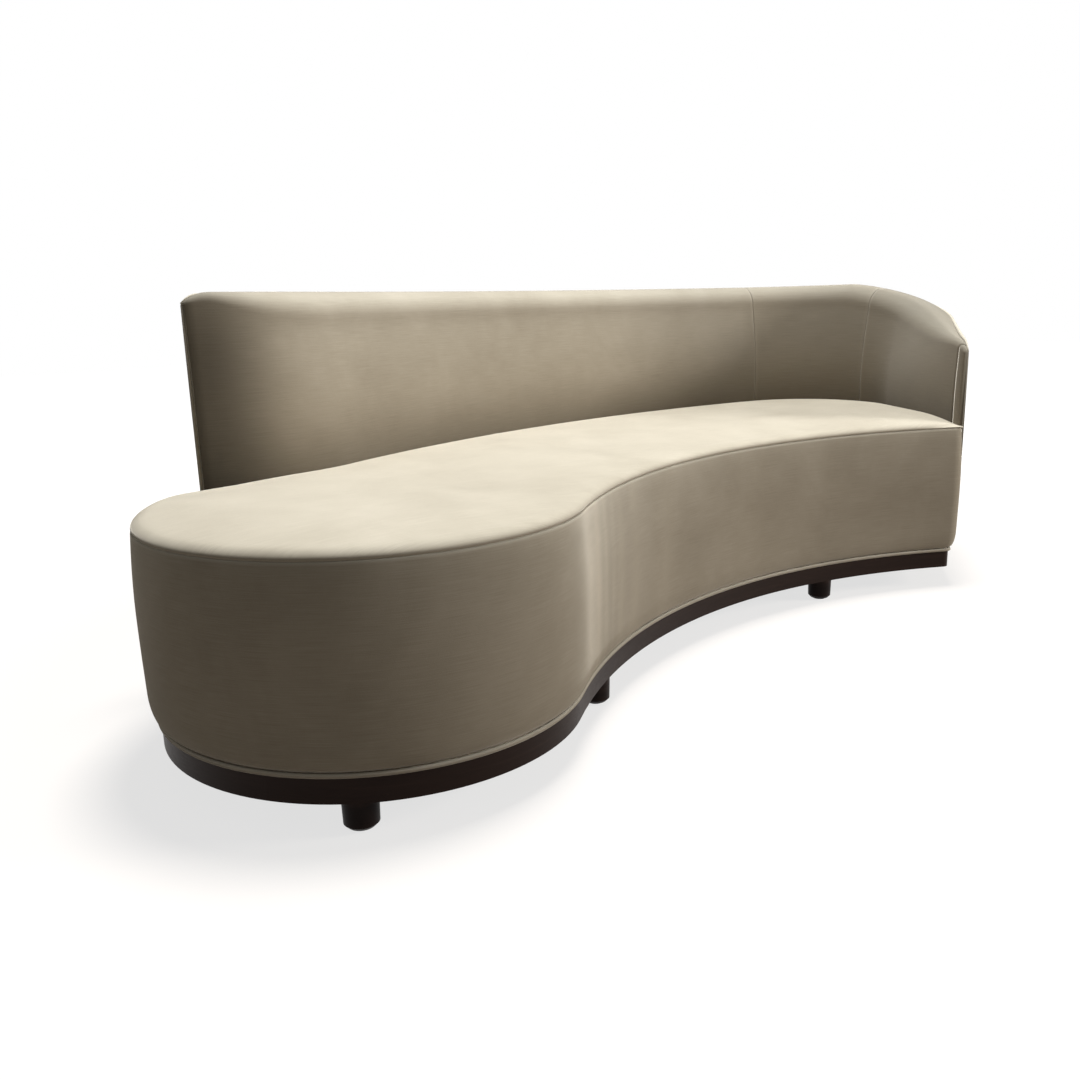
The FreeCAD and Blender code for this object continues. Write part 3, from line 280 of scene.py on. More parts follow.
def grid_faces(rows, columns, closed):
    """Quads between neighbouring rows of a grid; closed joins each row's last point to its first."""
    faces = []
    for i in range(rows - 1):
        for j in range(columns if closed else columns - 1):
            k = (j + 1) % columns
            faces.append((i * columns + j, i * columns + k, (i + 1) * columns + k, (i + 1) * columns + j))
    return faces


def face_outwards(piece):
    work = bmesh.new()
    work.from_mesh(piece.data)
    bmesh.ops.remove_doubles(work, verts=work.verts, dist=1e-6)
    bmesh.ops.recalc_face_normals(work, faces=work.faces)
    work.to_mesh(piece.data)
    work.free()


def swept(name, rows, along, seam=None):
    """A closed solid through closed sections: rows holds their points, along the distance of each section."""
    rows = np.asarray(rows)
    count, points = rows.shape[:2]
    around = np.zeros((count, points))
    around[:, 1:] = np.cumsum(np.linalg.norm(np.diff(rows, axis=1), axis=2), axis=1)
    vertices = rows.reshape(-1, 3)
    uvs = [(along[i], around[i, j]) for i in range(count) for j in range(points)]
    faces = grid_faces(count, points, True)
    faces.append(tuple(range(points))[::-1])
    faces.append(tuple((count - 1) * points + j for j in range(points)))
    piece = new_piece(name, vertices, faces, uvs, seam)
    face_outwards(piece)
    return piece


def section_rows(points, inward, section):
    """The same section, a list of depths and heights, square to a run at each of its points."""
    rows = []
    for point, direction in zip(points, inward):
        row = []
        for depth, height in section:
            spot = point + direction * depth
            row.append((spot.real, spot.imag, height))
        rows.append(row)
    return np.array(rows)


def roll_depth(share):
    """How far the rolled foot stands in, at a share of its height."""
    return PLINTH_INSET * (1 - math.sqrt(max(0.0, 1 - (1 - share) ** 2)))


band_bottom = PLINTH_TOP + 2 * WELT_RADIUS + 2 * WELT_GAP
roll_top = band_bottom + ROLL_HEIGHT


def roll_profile(steps=8):
    """The padding's outer face from its foot, above the piping, up to where it stands upright."""
    profile = [(PLINTH_INSET + LIP_DEPTH, band_bottom + LIP_RISE), (PLINTH_INSET, band_bottom)]
    for k in range(1, steps + 1):
        profile.append((roll_depth(k / steps), band_bottom + ROLL_HEIGHT * k / steps))
    return profile


# Band below the seat

BAND_STEPS = 10
BAND_EDGE = ((0.0003, 0.0024), (0.0009, 0.0009), (0.0022, 0.0))


def edge_draw(height):
    """How far the band leans in towards the seat's edge at a height."""
    share = max(0.0, (height - SEAM_HEIGHT + DRAW_HEIGHT) / DRAW_HEIGHT)
    return EDGE_DRAW * share ** 2


def band_profile():
    """Foot, slightly full face, and a top edge that turns in to the sewn seam."""
    outer = roll_profile()
    for k in range(1, BAND_STEPS + 1):
        share = k / BAND_STEPS
        height = roll_top + (SEAM_HEIGHT - SEAM_REACH - roll_top) * share
        outer.append((edge_draw(height) - BAND_FULLNESS * math.sin(math.pi * share), height))
    for depth, drop in BAND_EDGE:
        outer.append((EDGE_DRAW + depth, SEAM_HEIGHT - drop))
    inner = [(BAND_THICKNESS, height) for height in (SEAM_HEIGHT, MIDDLE_ROW, band_bottom + LIP_RISE)]
    return outer + inner


def seam_share(heights):
    """How near each height is to the seat's sewn edge, from 0 to 1."""
    return np.clip(1 - np.abs(np.asarray(heights) - SEAM_HEIGHT) / SEAM_REACH, 0, 1)


points, inward = front_run()
band_rows = section_rows(points, inward, band_profile())
band_along = lengths(points)
band = swept("band", band_rows, band_along, seam_share(band_rows[:, :, 2]))
hollow_begins = band_along[np.argmin(np.abs(points - polar(lobe_centre, LOBE_RADIUS, -HOLLOW_START)))]


def painted_highlight_streaks(rows, along):
    """Narrow upright painted highlights past the lobe, where the band turns and the velvet catches grazing
    light; given as negative painted shade.
    """
    heights = rows[:, :, 2]
    offsets = np.asarray(along)[:, None] - hollow_begins - STREAK_LEAN * (heights - MIDDLE_ROW)
    pale = np.zeros(rows.shape[:2])
    for place, width, strength in HIGHLIGHT_STREAKS:
        pale += strength * np.exp(-((offsets - place) / width) ** 2)
    rise = np.clip((heights - STREAK_FOOT) / STREAK_REACH, 0, 1)
    return -pale * np.clip(np.sin(np.pi * rise), 0, 1) ** STREAK_FADE


# Painted highlight streaks on the band, kept as negative painted shade
mark_painted_shading(band, band_rows, painted_highlight_streaks(band_rows, band_along))
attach(band, "root")
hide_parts("band_cover")

# Seat: a closed pad, crowned, with its plan traced at any pair of depths from the front and from the back

def circles_meet(c1, r1, c2, r2, near):
    """Where two circles cross or come nearest, close to a given point."""
    axis = c2 - c1
    gap = abs(axis)
    reach = gap / 2 + (r1 ** 2 - r2 ** 2) / (2 * gap)
    base = c1 + axis * (reach / gap)
    half = math.sqrt(max(0.0, r1 ** 2 - reach ** 2))
    side = 1j * axis / gap
    return min((base + side * half, base - side * half), key=lambda p: abs(p - near))


back_end = complex(polar(back_centre, BACK_RADIUS, end_angle))
end_corner = circles_meet(lobe_centre, LOBE_RADIUS, end_centre, end_radius, back_end)


def between_angles(centre, radius, start, stop, turn, count):
    """Points of an arc from one place to another, the last left out; turn is 1 or -1."""
    first = bearing(centre, start)
    span = (bearing(centre, stop) - first) % (2 * math.pi)
    if turn < 0:
        span -= 2 * math.pi
    return polar(centre, radius, first + span * np.linspace(0, 1, count, endpoint=False))


HOLLOW_STEPS, ARM_STEPS, WRAP_STEPS, BACK_STEPS, END_STEPS, LOBE_STEPS = 150, 36, 60, 130, 36, 150


def seat_loop(front, rear):
    """The seat's outline, inset by front from the band and by rear from the back."""
    shifted = corner + rear * np.exp(1j * (inner_heading + math.pi / 2))
    tip = on_circle(hollow_centre, HOLLOW_RADIUS + front, shifted, inner_heading, corner)
    arm_end = complex(polar(wrap_centre, WRAP_RADIUS - rear, inner_normal))
    wrap_end = complex(polar(wrap_centre, WRAP_RADIUS - rear, wrap_angle))
    back_end = complex(polar(back_centre, inner_radius - rear, shoulder_angle))
    left = circles_meet(lobe_centre, LOBE_RADIUS - front, end_centre, end_radius + rear, end_corner)
    dip = complex(polar(lobe_centre, LOBE_RADIUS - front, -HOLLOW_START))
    return np.concatenate([
        between_angles(hollow_centre, HOLLOW_RADIUS + front, dip, tip, -1, HOLLOW_STEPS),
        tip + (arm_end - tip) * np.linspace(0, 1, ARM_STEPS, endpoint=False),
        between_angles(wrap_centre, WRAP_RADIUS - rear, arm_end, wrap_end, 1, WRAP_STEPS),
        between_angles(back_centre, inner_radius - rear, wrap_end, back_end, 1, BACK_STEPS),
        between_angles(end_centre, end_radius + rear, back_end, left, -1, END_STEPS),
        between_angles(lobe_centre, LOBE_RADIUS - front, left, dip, 1, LOBE_STEPS)])


EDGE_STEP = 0.0015


def nearest(run_points):
    """A finder of the distance from any place to a line in plan."""
    tree = KDTree(len(run_points))
    for i, point in enumerate(run_points):
        tree.insert((point.real, point.imag, 0), i)
    tree.balance()
    return lambda p: tree.find((p.real, p.imag, 0))[2]


def seat_back_line():
    """The seat's outline from the right front corner along the arm and the back to the left end."""
    last = HOLLOW_STEPS + ARM_STEPS + WRAP_STEPS + BACK_STEPS + END_STEPS
    return seat_loop(0.0, 0.0)[HOLLOW_STEPS:last + 1]


def refine(line, step):
    """The same polyline with points no further apart than a step."""
    parts = []
    for a, b in zip(line[:-1], line[1:]):
        count = max(1, math.ceil(abs(b - a) / step))
        parts.append(a + (b - a) * np.linspace(0, 1, count, endpoint=False))
    return np.concatenate(parts + [line[-1:]])


from_front = nearest(front_run(EDGE_STEP)[0])
from_rear = nearest(refine(seat_back_line(), EDGE_STEP))


def rounded(distance, radius):
    """Drop of a rounded edge at a distance from it."""
    if distance >= radius:
        return 0.0
    return radius - math.sqrt(max(0.0, radius ** 2 - (radius - distance) ** 2))


def seat_height(point):
    """The crown: highest inside, lower towards the band and the back, with eased edges."""
    front, rear = max(0.0, from_front(point) - EDGE_DRAW), from_rear(point)
    height = SEAT_TOP
    height -= CROWN_FRONT * max(0.0, 1 - front / CROWN_REACH) ** 2 + EDGE_SHARE * rounded(front, EDGE_ROUND)
    height -= CROWN_REAR * max(0.0, 1 - rear / REAR_REACH) ** 2 + rounded(rear, REAR_ROUND)
    return height


# Rings of the seat's pad: inset from the band, inset from the back, and on the walls the height

BAND_GAP = 0.0003
SIDE_RINGS = (
    (SKIN_DEPTH + CLEAR, CLEAR, DECK_TOP),
    (SKIN_DEPTH + CLEAR, CLEAR, SEAM_HEIGHT - 0.012),
    (SKIN_DEPTH + CLEAR, CLEAR, SEAM_HEIGHT + BAND_GAP),
    (EDGE_DRAW + 0.0022, CLEAR, SEAM_HEIGHT + BAND_GAP),
    (EDGE_DRAW + 0.0010, CLEAR, SEAM_HEIGHT + 0.0011),
    (EDGE_DRAW + 0.0006, CLEAR * 2, SEAM_HEIGHT + 0.0028))
TOP_RINGS = (
    (EDGE_DRAW + 0.0012, 0.0015),
    (EDGE_DRAW + 0.0030, 0.0035),
    (EDGE_DRAW + 0.0065, 0.0065),
    (EDGE_DRAW + 0.0105, 0.0105),
    (EDGE_DRAW + 0.016, 0.016),
    (EDGE_DRAW + 0.026, 0.026))


def seat_rings():
    """Points and cloth coordinates of the rings up the pad's walls and over its edge."""
    vertices, uvs = [], []
    for front, rear, height in SIDE_RINGS:
        for point in seat_loop(front, rear):
            vertices.append((point.real, point.imag, height))
            uvs.append((point.real, point.imag + height))
    for front, rear in TOP_RINGS:
        lowest = SEAM_HEIGHT + EDGE_RISE + EDGE_SLOPE * (front - EDGE_DRAW)
        for point in seat_loop(front, rear):
            vertices.append((point.real, point.imag, max(seat_height(point), lowest)))
            uvs.append((point.real, point.imag))
    return vertices, uvs


def seat_field():
    """Places for points well inside the seat, in staggered rows."""
    places = []
    for i, y in enumerate(np.arange(-half_depth, half_depth, FIELD_STEP * FIELD_ROW)):
        for x in np.arange(-half_length + (i % 2) * FIELD_STEP / 2, half_length, FIELD_STEP):
            point = complex(x, y)
            if from_front(point) > EDGE_DRAW + FIELD_MARGIN and from_rear(point) > FIELD_MARGIN:
                places.append(point)
    return places


def seat_piece():
    """Walls as rings round the pad; the crowned top as triangles inside the last ring."""
    vertices, uvs = seat_rings()
    columns = len(seat_loop(0, 0))
    first = len(vertices) - columns
    faces = grid_faces(len(vertices) // columns, columns, True)
    faces.append(tuple(range(columns)))
    flat = [Vector((p.real, p.imag)) for p in list(seat_loop(*TOP_RINGS[-1])) + seat_field()]
    coords, _, triangles, sources, _, _ = delaunay_2d_cdt(flat, [], [list(range(columns))], 1, 1e-7)
    place = {}
    for k, (x, y) in enumerate(coords):
        origin = sources[k][0] if sources[k] else None
        if origin is not None and origin < columns:
            place[k] = first + origin
            continue
        place[k] = len(vertices)
        vertices.append((x, y, seat_height(complex(x, y))))
        uvs.append((x, y))
    faces += [tuple(place[k] for k in triangle) for triangle in triangles]
    piece = new_piece("seat_pad", vertices, faces, uvs, seam_share([height for _, _, height in vertices]))
    work = bmesh.new()
    work.from_mesh(piece.data)
    loose = [v for v in work.verts if not v.link_faces]
    bmesh.ops.delete(work, geom=loose, context="VERTS")
    bmesh.ops.recalc_face_normals(work, faces=work.faces)
    work.to_mesh(piece.data)
    work.free()
    return piece


seat = seat_piece()
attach(seat, "root")
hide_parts("seat_cover", "seat_foam")

# Back: stations along it, each with its face, its thickness and its height

def station(centre, angle, face, outside, top, slant=1.0):
    """A place along the back: its direction from a centre, its two faces as distances, and its top."""
    total = outside - face
    squeeze = min(1.0, total / THIN_LIMIT)
    return {"centre": centre, "angle": angle, "face": face, "total": total, "squeeze": squeeze,
            "slant": slant, "thick": total - (2 * WELT_RADIUS + WELT_GAP) * squeeze, "top": top}


def back_station(angle):
    """A place along the long back, which thins at its rounded left end."""
    offset = angle - shoulder_angle
    face = inner_radius
    if offset > 0:
        reach = inner_radius + end_radius
        face = reach * math.cos(offset) - math.sqrt(end_radius ** 2 - (reach * math.sin(offset)) ** 2)
    distance = (end_angle - angle) * BACK_RADIUS
    nose = max(0.0, 1 - distance / (2 * END_NOSE))
    return station(back_centre, angle, face, BACK_RADIUS, HEIGHT - END_NOSE * nose ** 2)


def wrap_station(angle):
    """A place round the wrap and along the falling arm."""
    face, outside = WRAP_RADIUS, outer_wrap
    if angle < inner_normal:
        face /= math.cos(angle - inner_normal)
    if angle < outer_normal:
        outside /= math.cos(angle - outer_normal)
    share = max(0.0, (FALL_START - angle) / (FALL_START - nose_angle))
    nose = max(0.0, 1 - (angle - nose_angle) * outer_wrap / (2 * ARM_NOSE))
    top = HEIGHT - ARM_FALL * share ** FALL_CURVE - ARM_NOSE * nose ** 2
    return station(wrap_centre, angle, face, outside, top, outside / outer_wrap)


def spread(begin, end, radius):
    """Even angles whose places on a circle are no further apart than a step."""
    return np.linspace(begin, end, max(3, math.ceil(abs(end - begin) * radius / STEP) + 1))


def placed(item, section):
    """A section's points, each across and up, stood at its station."""
    row = []
    for across, height in section:
        spot = complex(polar(item["centre"], item["face"] + across, item["angle"]))
        row.append((spot.real, spot.imag, height))
    return row


FACE_STEPS, SHOULDER_STEPS, CREST_STEPS = 14, 8, 7
BROW_POINT = 2 + FACE_STEPS
FACE_POINTS = BROW_POINT + 1 + SHOULDER_STEPS + CREST_STEPS
FACE_FOOT, FACE_START = 0.37, 0.41
LEAN_CURVE, SWELL_SHARE = 1.3, 0.9
RIM_DROP = 0.0088
PAD_LIP, PAD_TUCK = 0.0006, 0.001


def thick_share(item):
    """A station's thickness as a share of the back's full thickness, inside the piping."""
    return item["thick"] / (BACK_THICKNESS - 2 * WELT_RADIUS - WELT_GAP)


def section_face(item):
    """Points up the padded face and over the crest to the piping, each across and up."""
    thick = item["thick"]
    share = thick_share(item)
    lean, shoulder = LEAN * share, SHOULDER * share
    brow = item["top"] - shoulder
    crest = lean + shoulder
    run = thick - crest
    fall = CREST_FALL * share
    radius = (run ** 2 + fall ** 2) / (2 * fall)
    points = [(0.0, DECK_TOP + CLEAR), (0.0, FACE_FOOT)]
    for k in range(FACE_STEPS + 1):
        rise = k / FACE_STEPS
        swell = SWELL * share * math.sin(math.pi * rise) * SWELL_SHARE
        points.append((lean * rise ** LEAN_CURVE - swell, FACE_START + (brow - FACE_START) * rise))
    for k in range(1, SHOULDER_STEPS + 1):
        turn = math.pi / 2 * k / SHOULDER_STEPS
        points.append((crest - shoulder * math.cos(turn), brow + shoulder * math.sin(turn)))
    slope = math.asin(run / radius)
    for k in range(1, CREST_STEPS + 1):
        turn = slope * k / CREST_STEPS
        points.append((crest + radius * math.sin(turn), item["top"] - radius + radius * math.cos(turn)))
    return points


def rim_height(item):
    """Top of the outside cover, under the piping."""
    share = thick_share(item)
    return item["top"] - CREST_FALL * share - RIM_DROP * share


def pad_section(item, rear_depth):
    """The padded face, closed behind over the frame."""
    face = section_face(item)
    edge = face[-1]
    squeeze = item["squeeze"]
    under = rim_height(item) + CLEAR
    cap = item["total"] - (FRAME_DEPTH - CLEAR) * squeeze
    brow = face[BROW_POINT]
    rear = max(item["total"] - rear_depth * squeeze, brow[0] + LEAST_PAD * squeeze)
    shelf = max(item["top"] - (RAIL_DROP - CLEAR) * squeeze, brow[1] + LEAST_SHELF)
    behind = [
        (edge[0] + PAD_LIP * squeeze, (edge[1] + under) / 2), (edge[0] - PAD_TUCK * squeeze, under),
        (cap, under + PAD_TUCK * squeeze), (cap, shelf), (rear, shelf), (rear, REAR_ROW),
        (rear, DECK_TOP + CLEAR)]
    return face + behind


def pad_rows(stations, rear_depth, close_start, close_end):
    """Sections of a pad. At a sewn end they draw in, which leaves a shallow groove between two pads."""
    rows, seam = [], []
    places = [complex(polar(s["centre"], s["face"], s["angle"])) for s in stations]
    along = lengths(np.array(places))
    for item, distance in zip(stations, along):
        near = 1.0
        if close_start:
            near = min(near, distance / GROOVE)
        if close_end:
            near = min(near, (along[-1] - distance) / GROOVE)
        draw = GROOVE_DEPTH * (1 - math.sqrt(max(0.0, 1 - (1 - near) ** 2)))
        rows.append(placed(item, drawn_in(pad_section(item, rear_depth), draw)))
        seam.append([max(0.0, 1 - near)] * len(rows[-1]))
    return np.array(rows), along, np.array(seam)


def drawn_in(section, draw):
    """The visible face of a section moved inwards along its own normals."""
    if draw <= 0:
        return section
    moved = list(section)
    for k in range(2, FACE_POINTS):
        before, after = section[k - 1], section[min(k + 1, FACE_POINTS - 1)]
        dx, dy = after[0] - before[0], after[1] - before[1]
        size = math.hypot(dx, dy)
        moved[k] = (section[k][0] + draw * dy / size, section[k][1] - draw * dx / size)
    return moved


def seam_steps(begin, end, radius, at_start, at_end):
    """Angles from begin to end, with three close sections in the groove at a sewn end."""
    angles = list(spread(begin, end, radius))
    fine = [GROOVE * k / 4 / radius for k in (1, 2, 3)]
    sign = math.copysign(1, end - begin)
    if at_start:
        angles += [begin + sign * f for f in fine]
    if at_end:
        angles += [end - sign * f for f in fine]
    return sorted(angles, reverse=sign < 0)


JOIN_TURN, ARM_FINENESS = 0.01, 1.6
long_stations = [back_station(a) for a in spread(tip_angle, wrap_angle, BACK_RADIUS)]
long_stations += [wrap_station(a) for a in seam_steps(
    wrap_angle - JOIN_TURN, SEAM_BACK + HAIR / WRAP_RADIUS, WRAP_RADIUS, False, True)]
corner_stations = [wrap_station(a) for a in seam_steps(
    SEAM_BACK - HAIR / WRAP_RADIUS, SEAM_ARM + HAIR / WRAP_RADIUS, WRAP_RADIUS, True, True)]
strip_end = nose_angle + STRIP_SPAN
arm_stations = [wrap_station(a) for a in seam_steps(
    SEAM_ARM - HAIR / WRAP_RADIUS, strip_end + HAIR / WRAP_RADIUS, WRAP_RADIUS * ARM_FINENESS, True, True)]


def smooth_step(low, high, value):
    """Rises smoothly from 0 to 1 between two values."""
    share = np.clip((value - low) / (high - low), 0, 1)
    return share * share * (3 - 2 * share)


def painted_pad_shade(name, rows, along):
    """How much painted shade each point of a pad gets, where its faces turn from the light and low above the
    seat.
    """
    heights = rows[:, :, 2]
    along = np.broadcast_to(np.asarray(along)[:, None], heights.shape)
    # Painted contact shadow low above the seat
    low = LOW_CONTACT_SHADOW * np.clip(1 - (heights - LOW_LEVEL) / LOW_REACH, 0, 1) ** LOW_FADE
    crest = smooth_step(CREST_FROM, CREST_TO, heights)
    # Painted shade where the pad turns from the light: at the long pad's left end and near the corner, on the
    # corner pad, and rippled on the arm
    if name == "back_pad_long":
        side = END_SHADE * (1 - smooth_step(END_SHADE_FROM, END_SHADE_TO, along))
        side += CORNER_SHADE * smooth_step(CORNER_SHADE_FROM, CORNER_SHADE_TO, along - along.max())
    elif name == "back_pad_corner":
        side = CORNER_SHADE + CORNER_SHADE_GAIN * smooth_step(0, 1, along / along.max())
    else:
        side = ARM_SHADE + ARM_SHADE_RIPPLE * np.sin(along * RIPPLE_PACE)
        crest = np.zeros(heights.shape)
    # Side shade eased at the crest, joined with the painted contact shadow, and painted shade added on the
    # crest
    return 1 - (1 - side * (1 - CREST_SHADE_RELIEF * crest)) * (1 - low) + CREST_SHADE * crest


TIP_ROWS, TIP_SEAM = 6, 0.15
back_pads = []
for name, stations, rear, first_sewn, last_sewn, nodes in (
        ("back_pad_long", long_stations, FOAM_BACK, False, True, ("inside_back_cover", "back_foam")),
        ("back_pad_corner", corner_stations, FOAM_BACK, True, True, ("inside_corner_cover", "corner_foam")),
        ("back_pad_arm", arm_stations, ARM_REAR, True, True, ("inside_arm_cover", "arm_foam"))):
    rows, along, seam = pad_rows(stations, rear, first_sewn, last_sewn)
    if name == "back_pad_arm":
        seam[-TIP_ROWS:] *= TIP_SEAM
    pad = swept(name, rows, along, seam)
    # Painted shade for each point of the pad
    mark_painted_shading(pad, rows, painted_pad_shade(name, rows, along))
    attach(pad, "root")
    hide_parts(*nodes)
    back_pads.append(pad)

# Outside of the back

OUTSIDE_STEPS = 12
TOP_TURN, TURN_IN, TURN_DOWN, TOP_INSET = 0.003, 0.0012, 0.0008, 0.004
SKIN_GAP, ROLL_GAP = 0.0002, 0.001


def outside_section(item):
    """The outside cover: rolled in at its foot, slightly full, and cut back to the skin behind it."""
    total, slant, squeeze = item["total"], item["slant"], item["squeeze"]
    top = rim_height(item)
    outer = [(total - depth * slant, height) for depth, height in roll_profile()]
    for k in range(1, OUTSIDE_STEPS + 1):
        share = k / OUTSIDE_STEPS
        height = roll_top + (top - TOP_TURN - roll_top) * share
        outer.append((total + BACK_FULLNESS * math.sin(math.pi * share), height))
    outer += [(total - TURN_IN, top - TURN_DOWN), (total - TOP_INSET * squeeze, top)]
    inner = total - (BAND_THICKNESS - SKIN_GAP) * squeeze
    low = total - BAND_THICKNESS * slant
    upper = [(inner, top), (inner, REAR_ROW), (inner, roll_top + ROLL_GAP)]
    return outer + upper + [(low, roll_top), (low, band_bottom + LIP_RISE)]


rear_stations = [wrap_station(a) for a in spread(nose_angle, wrap_angle, outer_wrap)]
rear_stations += [back_station(a) for a in spread(wrap_angle, tip_angle, BACK_RADIUS)[1:]]
outer_points = [complex(polar(s["centre"], s["face"] + s["total"], s["angle"])) for s in rear_stations]
outside_rows = [placed(item, outside_section(item)) for item in rear_stations]
outside = swept("outside_back", outside_rows, lengths(np.array(outer_points)))

STRIP_EASES = (0.0022, 0.0008, 0.0, 0.0, 0.0002, 0.0009, 0.0026)
STRIP_STEP = 0.004


def arm_front():
    """The outside cover turned round the front of the arm: a narrow upright strip with eased edges."""
    stations = [wrap_station(a) for a in np.linspace(strip_end, nose_angle, len(STRIP_EASES))]
    rows = []
    for item, ease in zip(stations, STRIP_EASES):
        face = drawn_in(section_face(item), ease)
        across = face[-1][0]
        rows.append(placed(item, face + [(across, REAR_ROW), (across, DECK_TOP + CLEAR)]))
    places = np.array([complex(polar(s["centre"], s["face"], s["angle"])) for s in stations])
    return swept("arm_front", rows, lengths(places))


def merged(piece, other):
    """One mesh from two, kept under the first one's name."""
    work = bmesh.new()
    work.from_mesh(piece.data)
    work.from_mesh(other.data)
    work.to_mesh(piece.data)
    work.free()
    bpy.data.objects.remove(other)


merged(outside, arm_front())
strip_ends = [complex(polar(wrap_centre, radius, nose_angle)) for radius in (WRAP_RADIUS, 2 * WRAP_RADIUS)]
from_strip = nearest(refine(np.array(strip_ends), STRIP_STEP))
# Painted shade on the strip round the front of the arm, which turns from the key light
mark(outside, "painted_shading_mark", [
    STRIP_SHADE if from_strip(complex(v.co.x, v.co.y)) < STRIP_REACH else 0.0 for v in outside.data.vertices])
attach(outside, "root")
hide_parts("outside_back_cover")

# Piping: round tubes that lie in the seams

PIPE_SEAM, PIPE_SIDES = 0.35, 12


def pipe(name, spots, sizes):
    """A tube along a line of points, with a radius at each."""
    spots = [Vector(s) for s in spots]
    vertices, uvs = [], []
    travelled = 0.0
    for i, spot in enumerate(spots):
        ahead = spots[min(i + 1, len(spots) - 1)] - spots[max(i - 1, 0)]
        ahead.normalize()
        across = ahead.cross(Vector((0, 0, 1))).normalized()
        rise = across.cross(ahead)
        if i:
            travelled += (spot - spots[i - 1]).length
        for k in range(PIPE_SIDES):
            turn = 2 * math.pi * k / PIPE_SIDES
            vertices.append(spot + (across * math.cos(turn) + rise * math.sin(turn)) * sizes[i])
            uvs.append((travelled, turn * sizes[i]))
    faces = grid_faces(len(spots), PIPE_SIDES, True)
    faces.append(tuple(range(PIPE_SIDES))[::-1])
    faces.append(tuple((len(spots) - 1) * PIPE_SIDES + k for k in range(PIPE_SIDES)))
    piece = new_piece(name, vertices, faces, uvs, [PIPE_SEAM] * len(vertices))
    face_outwards(piece)
    return piece


WELT_DEPTH = PLINTH_INSET - WELT_RADIUS / 2
WELT_LEVEL = PLINTH_TOP + WELT_GAP + WELT_RADIUS
WELT_STEP = 0.008


def base_pipe(name, run):
    """Piping above the plinth, along a run of the outline."""
    points, inward = run
    spots = points + inward * WELT_DEPTH
    return pipe(name, [(p.real, p.imag, WELT_LEVEL) for p in spots], [WELT_RADIUS] * len(spots))


front_welt = base_pipe("base_piping_front", front_run(WELT_STEP))
rear_welt = base_pipe("base_piping_back", rear_run(WELT_STEP))
welt_sizes = [WELT_RADIUS * item["squeeze"] for item in rear_stations]
welt_spots = []
for item, size in zip(rear_stations, welt_sizes):
    welt_spots += placed(item, [(item["total"] - size, rim_height(item) + WELT_GAP + size)])
top_welt = pipe("back_piping", welt_spots, welt_sizes)
for piece, node in ((front_welt, "base_welt_front"), (rear_welt, "base_welt_back"), (top_welt, "back_welt")):
    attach(piece, "root")
    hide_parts(node)


# Materials

class Shade:
    """A small helper that adds nodes to a material and links them."""

    def __init__(self, name):
        self.material = bpy.data.materials.new(name)
        self.material.use_nodes = True
        self.tree = self.material.node_tree
        self.surface = self.tree.nodes["Principled BSDF"]

    def node(self, kind, inputs=None, **settings):
        item = self.tree.nodes.new(kind)
        for key, value in settings.items():
            setattr(item, key, value)
        for key, value in (inputs or {}).items():
            if isinstance(value, bpy.types.NodeSocket):
                self.tree.links.new(value, item.inputs[key])
            else:
                item.inputs[key].default_value = value
        return item

    def stretched(self, source, scale):
        return self.node("ShaderNodeMapping", {"Vector": source, "Scale": scale}).outputs[0]

    def noise(self, vector, scale, detail=4.0, roughness=0.55, distortion=0.0):
        return self.node("ShaderNodeTexNoise", {
            "Vector": vector, "Scale": scale, "Detail": detail, "Roughness": roughness,
            "Distortion": distortion}).outputs[0]

    def ramp(self, value, stops):
        item = self.node("ShaderNodeValToRGB", {0: value})
        elements = item.color_ramp.elements
        while len(elements) < len(stops):
            elements.new(0.5)
        for element, (position, colour) in zip(elements, stops):
            element.position = position
            element.color = (*colour, 1)
        return item.outputs[0]

    def mix(self, factor, a, b, blend="MIX"):
        item = self.tree.nodes.new("ShaderNodeMix")
        item.data_type = "RGBA"
        item.blend_type = blend
        for key, value in ((0, factor), (6, a), (7, b)):
            if isinstance(value, bpy.types.NodeSocket):
                self.tree.links.new(value, item.inputs[key])
            elif key == 0:
                item.inputs[key].default_value = value
            else:
                item.inputs[key].default_value = (*value, 1)
        return item.outputs[2]

    def maths(self, operation, a, b=0.0):
        return self.node("ShaderNodeMath", {0: a, 1: b}, operation=operation).outputs[0]

    def bump(self, height, strength, distance):
        normal = self.node("ShaderNodeBump", {"Height": height, "Strength": strength, "Distance": distance})
        self.tree.links.new(normal.outputs[0], self.surface.inputs["Normal"])

    def set(self, **values):
        for key, value in values.items():
            socket = self.surface.inputs[key.replace("_", " ")]
            if isinstance(value, bpy.types.NodeSocket):
                self.tree.links.new(value, socket)
            elif isinstance(value, tuple) and len(value) == 3:
                socket.default_value = (*value, 1)
            else:
                socket.default_value = value


# Painted shade for upright faces: the cloth is darkened where its faces turn from the overhead light
UPRIGHT_PAINTED_SHADE = (0.66, 0.615, 0.575)


